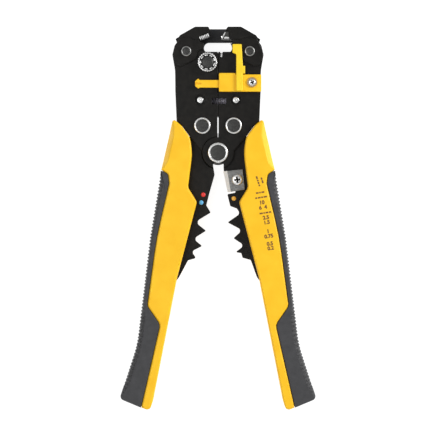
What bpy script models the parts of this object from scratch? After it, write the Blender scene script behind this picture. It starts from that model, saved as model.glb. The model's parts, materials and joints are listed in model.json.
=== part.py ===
"""Automatic wire stripper, crimper and cutter: two levers on one pivot bolt, two head halves
that spread on the same bolt, and two jaws that close before the halves pull the insulation off.

The tool lies on its back: +Z points out of its front, +Y towards the jaws, +X to its right.
Outlines are in millimetres from the pivot bolt. Those of both halves are drawn on the +X side,
and the left half is their mirror image. Layers, from the back to the front, are heights in Z.
"""
import math

import bmesh
import bpy
from mathutils import Vector

MM = 0.001

# Overall size: the tool's length, and how far the pivot bolt is from the middle of that length.
TOP = 67.5
LENGTH = 205.0
PIVOT_Y = LENGTH / 2 - TOP
GAP = 0.3

# Layers, back to front.
SLEEVE = (0.0, 19.0)
CORE = (1.5, 17.5)
COVER = (0.6, 3.9)
BACK_PLATE = (4.2, 6.7)
LEVER = (7.0, 12.0)
FRONT_PLATE = (12.3, 14.8)
CUTTER = (12.3, 13.8)
CHEEK = (15.1, 16.6)
OVER_CHEEK = (16.9, 18.6)

# The pivot and the two hub layers that lap over each other on it.
HUB_R = 8.4
HUB_HOLE_R = 3.06
BOLT_R = 3.0
HUB_ROOM_R = HUB_R + GAP

# Places of the pins, each on the +X side.
JAW_PIVOT = (17.0, 54.3)
JAW_RIVET_R = 2.0
DRIVE_PIN = (12.96, 47.05)
DRIVE_PIN_R = 1.6
STOP_RIVET = (8.4, 14.5)
STOP_RIVET_R = 2.2
LOST_MOTION_DEG = 4.0
SPRING_POST = (9.6, 28.3)
SPRING_POST_R = 1.2
POST_POCKET_R = 2.9
POST_POCKET_FLOOR = 13.5
RUNNING = 0.06
CUTTER_SCREW_HOLE_R = 1.56
COVER_SCREW_HOLE_R = 1.26
KNOB_STEM_R = 2.0

# The two sides and the names that go with them.
SIDES = ((-1, "left"), (1, "right"))

# Where both hubs are cut away under the bolt, so that the halves can spread.
THROAT = [(-2.6, -5.9), (-2.4, -9.5), (2.9, -9.5), (3.0, -5.9)]

# The window between the jaws.
WINDOW_Y = 57.0
WINDOW_R = 2.85
WINDOW_END = 4.75

# Adjuster knob and wire stop.
KNOB = (-5.6, 48.4)
KNOB_R = 5.2
STOP_SLOT_Y = (35.9, 39.3)
STOP_SCREW = (18.2, 37.6)
CUTTER_SCREW = (10.3, -14.5)
COVER_SCREWS = {"top": (-12.1, 60.2), "left": (-15.7, 34.7), "right": (14.8, 34.7)}
DOTS = {"red": (-7.9, -22.5), "blue": (-9.0, -26.7), "yellow": (8.5, -24.5)}
DOT_R = 1.2

COLOURS = {
    "black_steel": ((0.012, 0.011, 0.010), 0.38, 0.85),
    "bright_steel": ((0.62, 0.62, 0.60), 0.28, 1.0),
    "grey_steel": ((0.20, 0.20, 0.20), 0.38, 0.9),
    "yellow_plastic": ((1.0, 0.56, 0.015), 0.42, 0.0),
    "dark_plastic": ((0.022, 0.022, 0.024), 0.50, 0.0),
    "grey_grip": ((0.045, 0.045, 0.048), 0.75, 0.0),
    "spring_steel": ((0.36, 0.34, 0.42), 0.30, 1.0),
    "brass": ((0.70, 0.50, 0.20), 0.35, 1.0),
    "red_paint": ((0.70, 0.03, 0.03), 0.45, 0.0),
    "blue_paint": ((0.10, 0.42, 0.75), 0.45, 0.0),
    "yellow_paint": ((0.95, 0.50, 0.06), 0.45, 0.0),
}


# ---------------------------------------------------------------- outlines

def arc(x, y, radius, start_deg, stop_deg, steps=8):
    """Points along a round stretch, both ends included."""
    span = stop_deg - start_deg
    angles = [math.radians(start_deg + span * i / steps) for i in range(steps + 1)]
    return [(x + radius * math.cos(a), y + radius * math.sin(a)) for a in angles]


def circle(x, y, radius, sides=24):
    return arc(x, y, radius, 0, 360 * (sides - 1) / sides, sides - 1)


def rounded(corners, step_deg=18.0):
    """A closed outline through corners (x, y) or (x, y, fillet radius)."""
    points = []
    for index, corner in enumerate(corners):
        here = Vector(corner[:2])
        radius = corner[2] if len(corner) > 2 else 0.0
        if not radius:
            points.append(tuple(here))
            continue
        before = (Vector(corners[index - 1][:2]) - here).normalized()
        after = (Vector(corners[(index + 1) % len(corners)][:2]) - here).normalized()
        half = before.angle(after) / 2
        centre = here + (before + after).normalized() * radius / math.sin(half)
        start = here + before * radius / math.tan(half) - centre
        sweep = math.degrees(start.angle_signed(here + after * radius / math.tan(half) - centre))
        first = math.degrees(math.atan2(start.y, start.x))
        steps = max(2, round(abs(sweep) / step_deg))
        points += arc(centre.x, centre.y, radius, first, first - sweep, steps)
    return points


def obround(start, stop, radius, steps=6):
    """Two half circles joined by straight sides."""
    turn = math.degrees(math.atan2(stop[1] - start[1], stop[0] - start[0]))
    return arc(*start, radius, turn + 90, turn + 270, steps) + arc(
        *stop, radius, turn - 90, turn + 90, steps
    )


def on_side(points, side):
    """The outline itself for side +1, and its mirror image for side -1."""
    if side > 0:
        return list(points)
    return [(-x, y) for x, y in reversed(points)]


def placed(place, side):
    """A place given on the +X side, on the wanted side."""
    return (side * place[0], place[1])


def moved(points, dx, dy):
    return [(x + dx, y + dy) for x, y in points]


def turned(point, degrees):
    """A place turned about the pivot bolt."""
    angle = math.radians(degrees)
    x, y = point
    return (
        x * math.cos(angle) - y * math.sin(angle),
        x * math.sin(angle) + y * math.cos(angle),
    )


# ---------------------------------------------------------------- solids

def make_collection(name):
    collection = bpy.data.collections.new(name)
    bpy.context.scene.collection.children.link(collection)
    return collection


def make_material(name):
    colour, roughness, metallic = COLOURS[name]
    material = bpy.data.materials.new(name)
    material.use_nodes = True
    shader = material.node_tree.nodes["Principled BSDF"]
    shader.inputs["Base Color"].default_value = (*colour, 1.0)
    shader.inputs["Roughness"].default_value = roughness
    shader.inputs["Metallic"].default_value = metallic
    return material


def finished_mesh(obj):
    """Turn a curve object into a welded mesh object in the same place."""
    bpy.context.view_layer.update()
    evaluated = obj.evaluated_get(bpy.context.evaluated_depsgraph_get())
    mesh = bpy.data.meshes.new_from_object(evaluated)
    bm = bmesh.new()
    bm.from_mesh(mesh)
    bmesh.ops.remove_doubles(bm, verts=bm.verts, dist=0.000001)
    bmesh.ops.recalc_face_normals(bm, faces=bm.faces)
    bm.to_mesh(mesh)
    bm.free()
    made = bpy.data.objects.new(obj.name, mesh)
    made.matrix_world = obj.matrix_world.copy()
    bpy.context.scene.collection.objects.link(made)
    curve = obj.data
    bpy.data.objects.remove(obj)
    bpy.data.curves.remove(curve)
    return made


def prism(outer, layer, holes=()):
    """A flat outline with holes, as thick as its layer."""
    low, high = layer
    curve = bpy.data.curves.new("outline", "CURVE")
    curve.dimensions = "2D"
    curve.fill_mode = "BOTH"
    curve.extrude = (high - low) / 2 * MM
    for points in (outer, *holes):
        spline = curve.splines.new("POLY")
        spline.points.add(len(points) - 1)
        for point, (x, y) in zip(spline.points, points):
            point.co = (x * MM, (y + PIVOT_Y) * MM, 0.0, 1.0)
        spline.use_cyclic_u = True
    obj = bpy.data.objects.new("prism", curve)
    obj.location.z = (low + high) / 2 * MM
    bpy.context.scene.collection.objects.link(obj)
    return finished_mesh(obj)


def wire(points, radius):
    """A round wire through points, each (x, y, z)."""
    curve = bpy.data.curves.new("wire", "CURVE")
    curve.dimensions = "3D"
    curve.bevel_depth = radius * MM
    curve.bevel_resolution = 1
    curve.use_fill_caps = True
    spline = curve.splines.new("POLY")
    spline.points.add(len(points) - 1)
    for point, (x, y, z) in zip(spline.points, points):
        point.co = (x * MM, (y + PIVOT_Y) * MM, z * MM, 1.0)
    obj = bpy.data.objects.new("wire", curve)
    bpy.context.scene.collection.objects.link(obj)
    return finished_mesh(obj)


def spindle(place, steps, sides=24):
    """A turned piece on one upright axis: steps are (radius, low, high), bottom first."""
    x, y = place
    bm = bmesh.new()
    profile = []
    for radius, low, high in steps:
        profile += [(radius, low), (radius, high)]
    rings = []
    for radius, height in profile:
        ring = [
            bm.verts.new((px * MM, (py + PIVOT_Y) * MM, height * MM))
            for px, py in circle(x, y, radius, sides)
        ]
        rings.append(ring)
    for lower, upper in zip(rings, rings[1:]):
        for i in range(sides):
            j = (i + 1) % sides
            bm.faces.new((lower[i], lower[j], upper[j], upper[i]))
    bm.faces.new(list(reversed(rings[0])))
    bm.faces.new(rings[-1])
    mesh = bpy.data.meshes.new("spindle")
    bm.to_mesh(mesh)
    bm.free()
    obj = bpy.data.objects.new("spindle", mesh)
    bpy.context.scene.collection.objects.link(obj)
    return obj


class Model:
    """The object's collections, its axis empties and its named pieces."""

    def __init__(self, name):
        self.parts = make_collection(name)
        self.cutters = make_collection(name + " cutters")
        self.materials = {key: make_material(key) for key in COLOURS}
        self.axes = {}

    def axis(self, name, place, parent=None):
        """An empty on a joint's axis, which the pieces of that body hang from."""
        empty = bpy.data.objects.new(name + "_axis", None)
        empty.empty_display_size = 5 * MM
        empty.location = (place[0] * MM, (place[1] + PIVOT_Y) * MM, 0.0)
        self.parts.objects.link(empty)
        bpy.context.view_layer.update()
        self.axes[name] = empty
        if parent:
            self.hang(empty, parent)

    def hang(self, obj, body):
        empty = self.axes[body]
        bpy.context.view_layer.update()
        obj.parent = empty
        obj.matrix_parent_inverse = empty.matrix_world.inverted()

    def piece(self, obj, name, body, material, smooth_deg=35.0):
        """Name a finished solid, give it its material and hang it on its body's axis."""
        obj.name = name
        obj.data.name = name
        obj.data.materials.clear()
        obj.data.materials.append(self.materials[material])
        obj.data.shade_smooth()
        obj.data.set_sharp_from_angle(angle=math.radians(smooth_deg))
        bpy.context.scene.collection.objects.unlink(obj)
        self.parts.objects.link(obj)
        self.hang(obj, body)
        return obj

    def boolean(self, obj, tool, operation):
        """Cut a tool solid from obj, or join it to obj."""
        bpy.context.scene.collection.objects.unlink(tool)
        self.cutters.objects.link(tool)
        tool.hide_render = True
        tool.display_type = "WIRE"
        tool.name = "cutter"
        modifier = obj.modifiers.new(operation.lower(), "BOOLEAN")
        modifier.operation = operation
        modifier.object = tool
        modifier.solver = "EXACT"
        return obj

    def cut(self, obj, *tools):
        for tool in tools:
            self.boolean(obj, tool, "DIFFERENCE")
        return obj

    def join(self, obj, *tools):
        for tool in tools:
            self.boolean(obj, tool, "UNION")
        return obj


def disc(place, radius, layer, sides=24):
    return prism(circle(*place, radius, sides), layer)


def half_layers(layer):
    """The two thin layers that lap over each other on the pivot, lower first."""
    low, high = layer
    middle = (low + high) / 2
    return (low, middle - GAP / 2), (middle + GAP / 2, high)


def lap_on_pivot(model, obj, layer, side):
    """Halve a plate's thickness round the pivot, and add its round hub: left low, right high."""
    lower, upper = half_layers(layer)
    own, other = (lower, upper) if side < 0 else (upper, lower)
    room = (other[0] - 1, own[0]) if side > 0 else (own[1], other[1] + 1)
    model.cut(obj, disc((0, 0), HUB_ROOM_R, room, 36))
    model.join(obj, disc((0, 0), HUB_R, own, 36))
    model.cut(obj, disc((0, 0), HUB_HOLE_R, (layer[0] - 1, layer[1] + 1)))
    model.cut(obj, prism(THROAT, (layer[0] - 1, layer[1] + 1)))


# ---------------------------------------------------------------- levers

LEFT_TEETH = [
    (16.1, -57.8, 0.8), (11.8, -56.6, 0.7), (14.3, -53.0, 1.6), (8.5, -50.1, 0.5),
    (13.3, -46.2, 1.7), (6.4, -41.9, 0.5), (12.3, -37.2, 1.9), (3.9, -32.1, 0.6),
    (6.3, -28.2, 1.0), (4.6, -21.5, 3.0), (1.8, -11.7, 3.0),
]
RIGHT_TEETH = [
    (17.6, -57.6, 1.0), (13.2, -56.4, 0.5), (12.5, -53.9, 0.4), (9.4, -53.4, 0.4),
    (14.2, -49.8, 1.6), (8.3, -45.9, 0.5), (13.1, -41.6, 1.7), (5.1, -37.4, 0.5),
    (12.0, -32.6, 1.8), (10.1, -29.9, 0.8), (6.6, -28.6, 0.8), (5.0, -22.2, 0.6),
    (9.4, -21.4, 0.5), (8.8, -11.2, 0.5), (3.2, -10.6, 0.4),
]


def lever_outline(side):
    """The thick lower part of a lever: hub, crimping teeth, and the tang inside the sleeve."""
    teeth = LEFT_TEETH if side < 0 else RIGHT_TEETH
    throat_x = 2.6 if side < 0 else 3.0
    tang = [
        (0.3, 8.8), (19.0, 8.8, 3.0), (25.2, -14.0, 20.0), (31.5, -60.0, 60.0),
        (41.0, -110.0, 2.0), (35.8, -111.0, 2.0), (26.6, -74.0, 20.0), (21.0, -67.0, 6.0),
    ]
    return on_side(rounded(tang + teeth + [(throat_x, -7.2), (throat_x, -5.9), (0.3, -5.9)]), side)


def arm_outline(side):
    """The thin upper arm, from the hub up to the drive pin."""
    corners = [
        (0.4, 6.0), (1.6, 11.0, 4.0), (8.9, 43.7, 3.0), (9.4, 50.9, 3.2), (16.5, 50.3, 3.2),
        (16.2, 44.0, 6.0), (13.6, 22.0, 8.0), (13.6, 10.0, 5.0), (6.0, 0.0),
    ]
    return on_side(rounded(corners), side)


def lever(model, side, word):
    body = f"{word}_lever"
    obj = prism(lever_outline(side), LEVER)
    lap_on_pivot(model, obj, LEVER, side)
    lower, upper = half_layers(LEVER)
    own = lower if side < 0 else upper
    rivet = placed(STOP_RIVET, side)
    post = placed(SPRING_POST, side)
    slots = [
        obround(place, turned(place, side * LOST_MOTION_DEG), radius + 0.2)
        for place, radius in ((rivet, STOP_RIVET_R), (post, SPRING_POST_R))
    ]
    pin_hole = circle(*placed(DRIVE_PIN, side), DRIVE_PIN_R + RUNNING)
    arm = prism(arm_outline(side), own, (*slots, pin_hole))
    model.cut(arm, disc((0, 0), HUB_R - 1.0, (own[0] - 1, own[1] + 1), 36))
    model.join(obj, arm)
    for colour, place in DOTS.items():
        if place[0] * side > 0:
            model.cut(obj, disc(place, DOT_R + GAP, (LEVER[1] - 0.6, LEVER[1] + 1)))
            dot = disc(place, DOT_R, (LEVER[1] - 0.3, LEVER[1] + 0.1))
            model.piece(dot, f"{colour}_size_dot", body, f"{colour}_paint")
    if side > 0:
        model.cut(obj, disc(CUTTER_SCREW, CUTTER_SCREW_HOLE_R, (LEVER[0] - 1, LEVER[1] + 1)))
    model.piece(obj, body, body, "black_steel")
    pin = spindle(placed(DRIVE_PIN, side), [(DRIVE_PIN_R, LEVER[0] + 0.1, LEVER[1])], 16)
    model.piece(pin, f"{word}_drive_pin", body, "bright_steel")


# ---------------------------------------------------------------- handles

SLEEVE_CORNERS = [
    (24.1, 18.3, 1.2), (31.0, -12.0, 60.0), (36.6, -45.4, 150.0), (43.5, -103.0, 60.0),
    (52.7, -131.62, 2.4), (36.5, -138.28, 2.2), (34.9, -133.0, 6.0), (22.2, -68.0, 60.0),
    (11.3, -26.4, 3.0), (16.1, -18.6, 4.0), (13.7, 0.5, 30.0), (15.1, 8.4, 8.0),
    (19.6, 14.5, 8.0),
]
GRIP_CORNERS = [
    (62.0, -3.0), (30.8, -9.4, 0.6), (26.8, -11.6, 2.2), (26.2, -16.5, 4.0), (32.9, -45.0, 200.0),
    (37.9, -82.0, 4.0), (31.0, -92.0, 5.0), (42.2, -141.0), (62.0, -143.0),
]
GRIP_DEPTH = 1.9


def sleeve_outline(side):
    return on_side(rounded(SLEEVE_CORNERS), side)


def grip_region(side, room=0.0):
    """Where the soft grip wraps the sleeve's outer edge; room widens it towards the middle."""
    corners = [(x - room, y, *r) for x, y, *r in GRIP_CORNERS]
    return on_side(rounded(corners), side)


def core_outline(side, depth):
    """The sleeve's outline drawn in from its outer and lower edges."""
    return on_side(moved(rounded(SLEEVE_CORNERS), -depth, depth), side)


def cavity_outline(side):
    """Room for the lever's tang, open on the sleeve's inner edge."""
    corners = [
        (5.0, 9.3), (19.2, 9.2, 3.2), (25.6, -14.0, 20.0), (31.9, -60.0, 60.0),
        (41.5, -110.4, 2.2), (35.4, -111.6, 2.2), (26.0, -74.0, 20.0), (19.0, -65.5), (5.0, -60.0),
    ]
    return on_side(rounded(corners), side)


def handle(model, side, word):
    body = f"{word}_lever"
    tall = (SLEEVE[0] - 1, SLEEVE[1] + 1)
    sleeve = prism(sleeve_outline(side), SLEEVE)
    around = prism(grip_region(side, GAP), tall)
    model.cut(around, prism(core_outline(side, GRIP_DEPTH), CORE))
    model.cut(sleeve, around, prism(cavity_outline(side), (LEVER[0] - GAP, LEVER[1] + GAP)))
    model.piece(sleeve, f"{word}_handle_sleeve", body, "yellow_plastic")

    grip = prism(sleeve_outline(side), SLEEVE)
    model.boolean(grip, prism(grip_region(side), tall), "INTERSECT")
    hollow = (CORE[0] - GAP, CORE[1] + GAP)
    model.cut(grip, prism(core_outline(side, GRIP_DEPTH - GAP), hollow))
    model.piece(grip, f"{word}_grip", body, "grey_grip")


# ---------------------------------------------------------------- head

def plate_outline(side, top_points):
    """A head plate from the window down to the pivot, clear of the sleeve beside it."""
    slot_end = 3.2 if side < 0 else 4.4
    corners = [
        (0.15, 2.0), (0.15, 10.2), (0.35, 10.6), (0.35, 19.0), (0.15, 19.4),
        (0.15, 26.2), (slot_end, 26.2), (slot_end, 29.4), (0.15, 29.4), (0.15, 54.15),
        (6.4, 54.15), (8.9, 54.9, 0.8),
    ] + top_points + [
        (24.5, 52.6, 3.0), (23.0, 44.0, 20.0), (22.9, 33.0), (22.1, 17.1, 0.3), (19.3, 14.9, 6.0),
        (14.7, 8.7, 5.0), (8.2, 1.0), (5.0, 0.4),
    ]
    return rounded(corners)


def front_plate(model, side, word):
    body = f"{word}_frame"
    shoulder = arc(*JAW_PIVOT, 7.0, 172, 25, 8)
    post = placed(SPRING_POST, side)
    rivet = placed(STOP_RIVET, side)
    holes = [
        circle(*placed(JAW_PIVOT, side), JAW_RIVET_R + RUNNING),
        circle(*rivet, STOP_RIVET_R + RUNNING),
        circle(*post, SPRING_POST_R + RUNNING, 16),
    ]
    if side < 0:
        holes.append(circle(*KNOB, KNOB_STEM_R + RUNNING))
    obj = prism(on_side(plate_outline(side, shoulder), side), FRONT_PLATE, holes)
    lap_on_pivot(model, obj, FRONT_PLATE, side)
    model.cut(obj, disc(post, POST_POCKET_R, (POST_POCKET_FLOOR, FRONT_PLATE[1] + 1)))
    if side > 0:
        low, high = STOP_SLOT_Y
        narrow = [(3.6, low), (26.0, low), (26.0, high), (3.6, high)]
        wide = [(3.6, low - 1), (26.0, low - 1), (26.0, high + 1), (3.6, high + 1)]
        model.cut(obj, prism(narrow, (13.0, FRONT_PLATE[1] + 1)))
        model.cut(obj, prism(wide, (FRONT_PLATE[0] - 1, 13.5)))
        notch = [(1.2, 51.2), (2.5, 51.2), (2.5, 55.0), (1.2, 55.0)]
        model.cut(obj, prism(notch, (FRONT_PLATE[0] - 1, FRONT_PLATE[1] + 1)))
    model.piece(obj, f"{word}_front_plate", body, "black_steel")


def back_plate(model, side, word):
    """As the front plate, with an ear for the top cover screw and room for the spring."""
    body = f"{word}_frame"
    ear = [(9.0, 58.0, 1.0), (9.0, 62.8, 2.0), (15.0, 64.4, 2.0), (20.4, 61.2, 2.0)]
    screw_holes = [
        circle(x, y, COVER_SCREW_HOLE_R) for x, y in COVER_SCREWS.values() if x * side > 0
    ]
    holes = [
        circle(*placed(JAW_PIVOT, side), JAW_RIVET_R + RUNNING),
        circle(*placed(STOP_RIVET, side), STOP_RIVET_R + RUNNING),
        circle(*placed(SPRING_POST, side), SPRING_POST_R + RUNNING, 16),
        *screw_holes,
    ]
    obj = prism(on_side(plate_outline(side, ear), side), BACK_PLATE, holes)
    lap_on_pivot(model, obj, BACK_PLATE, side)
    bay = [(-1.0, 25.4), (7.6, 25.4), (7.6, 31.2), (-1.0, 31.2)]
    model.cut(obj, prism(on_side(bay, side), (BACK_PLATE[0] - 1, BACK_PLATE[1] + 1)))
    model.piece(obj, f"{word}_back_plate", body, "black_steel")


def cover_outline(side):
    """A back cover's outline. The left one carries the bar that closes the window's top."""
    lobe = arc(8.6, 15.2, 6.3, -32, -155, 8)
    window = arc(WINDOW_END, WINDOW_Y, WINDOW_R, -90, 0, 5)
    edge = [(22.0, 58.6, 1.5), (23.4, 52.8, 3.0), (22.0, 44.0, 20.0), (21.8, 33.0), (21.4, 26.4, 2.0)]
    foot = [(0.7, 19.6, 0.5), (0.15, 20.6)]
    if side > 0:
        top = [(7.3, 58.6), (6.7, 59.5), (21.4, 59.5, 0.5)]
        return rounded([(0.15, 54.15)] + window + top + edge[1:] + lobe + foot)
    top = arc(WINDOW_END, WINDOW_Y, WINDOW_R, 0, 90, 5)[1:]
    bar = [(-20.9, 59.85, 0.5), (-19.6, 62.8, 0.8), (-12.2, 67.2, 1.5), (12.2, 67.2, 1.5)]
    return on_side(
        rounded([(0.15, 54.15)] + window + top + bar + [(19.8, 62.6, 0.8)] + edge + lobe + foot), side
    )


def back_cover(model, side, word):
    body = f"{word}_frame"
    obj = prism(cover_outline(side), COVER)
    ridge = rounded([(0.15, 24.1), (0.15, 32.6), (14.0, 32.6, 4.2), (14.0, 24.1, 4.2)])
    model.join(obj, prism(on_side(ridge, side), (0.0, COVER[0] + 1.0)))
    bay = rounded([(-1.0, 25.2), (-1.0, 31.4), (12.0, 31.4, 2.8), (12.0, 25.2, 2.8)])
    model.cut(obj, prism(on_side(bay, side), (1.1, COVER[1] + 1)))
    for place in COVER_SCREWS.values():
        if place[0] * side > 0:
            recess = disc(place, 2.7, (-1.0, 1.5))
            hole = disc(place, COVER_SCREW_HOLE_R, (0.5, COVER[1] + 1), 16)
            model.cut(obj, recess, hole)
    rivet = placed(STOP_RIVET, side)
    model.cut(obj, disc(rivet, 3.1, (3.0, COVER[1] + 1)))
    model.piece(obj, f"{word}_back_cover", body, "dark_plastic")


def head_half(model, side, word):
    """The plates, cover and rivets that turn together on the pivot."""
    body = f"{word}_frame"
    front_plate(model, side, word)
    back_plate(model, side, word)
    back_cover(model, side, word)
    stop_rivet = spindle(
        placed(STOP_RIVET, side),
        [(2.9, 3.3, 4.0), (STOP_RIVET_R, 4.0, 15.1), (4.4, 15.1, 16.1)],
    )
    model.piece(stop_rivet, f"{word}_stop_rivet", body, "bright_steel")
    jaw_rivet = spindle(
        placed(JAW_PIVOT, side),
        [(JAW_RIVET_R, BACK_PLATE[0] + 0.1, 16.9), (2.7, 16.9, 17.5)],
    )
    model.piece(jaw_rivet, f"{word}_jaw_rivet", body, "bright_steel")
    lower_pad(model, side, word)


def lower_pad(model, side, word):
    """What the jaw closes on: a gripping bar on the left, the fixed blades on the right."""
    body = f"{word}_frame"
    if side < 0:
        bar = rounded([(-7.6, 51.2), (-0.6, 51.2), (-0.6, 53.9, 0.4), (-7.6, 53.9, 0.4)])
        model.piece(prism(bar, LEVER), "lower_grip_pad", body, "grey_steel")
        return
    blade = [(0.5, 48.4), (7.4, 48.4), (7.4, 53.9), (2.6, 53.9), (1.9, 53.2), (0.5, 53.2)]
    model.piece(prism(blade, LEVER), "lower_stripping_blades", body, "bright_steel")


def spring_post(model, side, word):
    """The post that the tension spring hooks on, with its head in the front plate's pocket."""
    place = placed(SPRING_POST, side)
    head = (1.7, POST_POCKET_FLOOR + RUNNING, FRONT_PLATE[1] - 0.3)
    post = spindle(place, [(SPRING_POST_R, 2.0, head[1]), head], 16)
    model.piece(post, f"{word}_spring_post", f"{word}_frame", "bright_steel")


# ---------------------------------------------------------------- jaws

def jaw_block_outline(side):
    """The thick nose of a jaw, above the plates."""
    inner = [(4.1, 65.4, 0.5), (4.6, 64.5), (9.9, 62.4), (10.0, 60.6)]
    if side > 0:
        inner = [(3.9, 65.4, 0.5), (5.9, 65.1), (6.4, 60.6), (10.0, 60.6)]
    seat = arc(*JAW_PIVOT, 7.6, 128, 62, 4)
    return on_side(
        rounded([(12.3, TOP, 1.2), (5.2, TOP, 0.6)] + inner + seat + [(21.3, 61.6), (20.4, 62.9)]),
        side,
    )


def cheek_outline(side):
    """The flat plate of a jaw over the front plate, round its rivet."""
    corners = [
        (12.3, 66.6), (5.6, 66.6), (5.2, 64.9), (9.6, 63.0), (9.9, 59.6, 0.8), (7.7, 58.8, 0.8),
        (7.7, 55.6, 0.8), (11.0, 54.4, 0.6), (11.4, 50.4, 0.8), (21.2, 45.4, 2.4),
        (24.6, 52.4, 5.0), (21.0, 60.8, 3.0), (20.4, 62.6, 0.4),
    ]
    if side > 0:
        corners[2:4] = [(6.2, 64.9), (6.7, 60.4)]
    return on_side(rounded(corners), side)


def tail_outline(side):
    """The fork inside the head that the drive pin pushes sideways."""
    along = (Vector(DRIVE_PIN) - Vector(JAW_PIVOT)).normalized()
    across = Vector((-along.y, along.x))
    start = Vector(JAW_PIVOT)
    reach, half_width, slot_width, slot_start = 11.2, 3.9, DRIVE_PIN_R + 0.25, 6.2

    def place(distance, offset):
        return tuple(start + along * distance + across * offset)

    fork = [
        place(4.0, half_width), place(reach, half_width), place(reach, slot_width),
        place(slot_start, slot_width), place(slot_start, -slot_width),
        place(reach, -slot_width), place(reach, -half_width), place(4.0, -half_width),
    ]
    crown = arc(*JAW_PIVOT, 9.0, 178, 50, 8)
    return on_side(fork + crown, side)


def jaw(model, side, word):
    body = f"{word}_jaw"
    lower, upper = half_layers(LEVER)
    tail_layer = upper if side < 0 else lower
    rivet = placed(JAW_PIVOT, side)
    obj = prism(jaw_block_outline(side), (LEVER[0], CHEEK[1]))
    hole = circle(*rivet, JAW_RIVET_R + RUNNING)
    model.join(obj, prism(cheek_outline(side), CHEEK, [hole]))
    model.join(obj, prism(tail_outline(side), tail_layer, [hole]))
    model.piece(obj, f"{word}_upper_jaw", body, "black_steel")

    spring_layer = lower if side < 0 else upper
    turns, sides, coil_r, wire_r = 3, 12, 3.1, 0.3
    count = turns * sides
    low, high = spring_layer[0] + wire_r + 0.1, spring_layer[1] - wire_r - 0.1
    ring = arc(*rivet, coil_r, 0, 360 * turns, count)
    points = [(x, y, low + (high - low) * i / count) for i, (x, y) in enumerate(ring)]
    model.piece(wire(points, wire_r), f"{word}_jaw_spring", f"{word}_frame", "spring_steel")


def jaw_inserts(model):
    """The ribbed gripping pad on the left jaw and the blade stack on the right one."""
    pad = [(-9.4, 60.4), (-4.4, 62.4), (-5.0, 63.95), (-9.6, 62.1)]
    layer = (LEVER[0] + 0.2, CHEEK[1] - 0.1)
    model.piece(prism(pad, layer), "upper_grip_pad", "left_jaw", "grey_steel")
    blade = [(1.6, 61.2), (2.7, 60.9), (6.1, 60.9), (5.6, 64.8), (3.6, 64.8)]
    model.piece(prism(blade, layer), "upper_stripping_blades", "right_jaw", "bright_steel")


# ---------------------------------------------------------------- single pieces

def pivot(model):
    bolt = spindle((0, 0), [(2.3, 0.5, 2.2), (BOLT_R, 2.2, 15.1), (5.4, 15.1, 16.4)])
    model.piece(bolt, "pivot_bolt", "pivot", "bright_steel")
    hexagon = circle(0, 0, 5.4, 6)
    nut = prism(hexagon, (0.9, 3.0), [circle(0, 0, BOLT_R + RUNNING)])
    model.piece(nut, "pivot_nut", "pivot", "grey_steel")
    washer = prism(circle(0, 0, 6.4, 32), (3.3, 3.9), [circle(0, 0, BOLT_R + RUNNING)])
    model.piece(washer, "pivot_washer", "pivot", "bright_steel")


def tension_spring(model):
    """The coil between the two posts, which pulls the head halves together."""
    turns, sides, coil_r, wire_r = 9, 10, 2.1, 0.4
    half_length, height = 6.6, 4.1
    hook_height = 2.8
    post_x, y = SPRING_POST
    count = turns * sides
    coil = []
    for i in range(count + 1):
        angle = 2 * math.pi * i / sides - math.pi / 2
        x = half_length * (2 * i / count - 1)
        coil.append((x, y + coil_r * math.cos(angle), height + coil_r * math.sin(angle)))
    hook_r = SPRING_POST_R + wire_r + 0.2
    left_hook = [(x, v, hook_height) for x, v in arc(-post_x, y, hook_r, 240, 0, 6)]
    right_hook = [(x, v, hook_height) for x, v in arc(post_x, y, hook_r, 180, -60, 6)]
    spring = wire(left_hook + coil + right_hook, wire_r)
    model.piece(spring, "tension_spring", "left_frame", "spring_steel")


def cutter(model):
    blade = rounded([(2.9, -10.0, 0.3), (13.2, -8.8, 0.4), (14.4, -19.8, 0.4), (5.2, -21.2, 0.3)])
    hole = circle(*CUTTER_SCREW, CUTTER_SCREW_HOLE_R)
    model.piece(prism(blade, CUTTER, [hole]), "cutter_blade", "right_lever", "grey_steel")
    screw = spindle(CUTTER_SCREW, [(1.5, LEVER[0] + 0.2, 14.1), (2.8, 14.1, 15.2)])
    model.piece(screw, "cutter_screw", "right_lever", "bright_steel")


def wire_stop(model):
    """The yellow slide: body with a guided foot, tongue over the left half, and the stop arm."""
    body_corners = [
        (0.5, 32.6, 0.6), (23.2, 32.6, 0.6), (23.2, 41.8, 0.6), (9.4, 41.8), (9.4, 42.6),
        (0.5, 42.6, 0.6),
    ]
    obj = prism(rounded(body_corners), (15.1, 17.4))
    tongue = [
        (1.0, 34.8), (1.0, 38.9), (-9.8, 38.9), (-10.6, 39.7), (-12.3, 38.3), (-12.3, 35.6),
        (-10.6, 34.3), (-9.8, 34.8),
    ]
    model.join(obj, prism(tongue, (15.2, 16.7)))
    arm = [
        (9.7, 33.0), (13.3, 33.0), (13.3, 42.2), (14.5, 42.2), (14.5, 46.4), (13.3, 46.4),
        (12.6, 58.0), (7.7, 58.0), (7.7, 53.4), (9.7, 52.6),
    ]
    model.join(obj, prism(arm, OVER_CHEEK))
    low, high = STOP_SLOT_Y
    neck = [(8.3, low + 0.2), (20.5, low + 0.2), (20.5, high - 0.2), (8.3, high - 0.2)]
    foot = [(8.2, low - 0.7), (20.6, low - 0.7), (20.6, high + 0.7), (8.2, high + 0.7)]
    model.join(obj, prism(neck, (12.9, 15.4)), prism(foot, (12.4, 13.2)))
    model.cut(obj, disc(STOP_SCREW, 1.26, (12.0, 19.0), 16))
    model.piece(obj, "wire_stop", "stop", "yellow_plastic")
    screw = spindle(STOP_SCREW, [(1.2, 12.7, 17.7), (2.6, 17.7, 18.5)], 16)
    model.piece(screw, "stop_screw", "stop", "brass")


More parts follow.
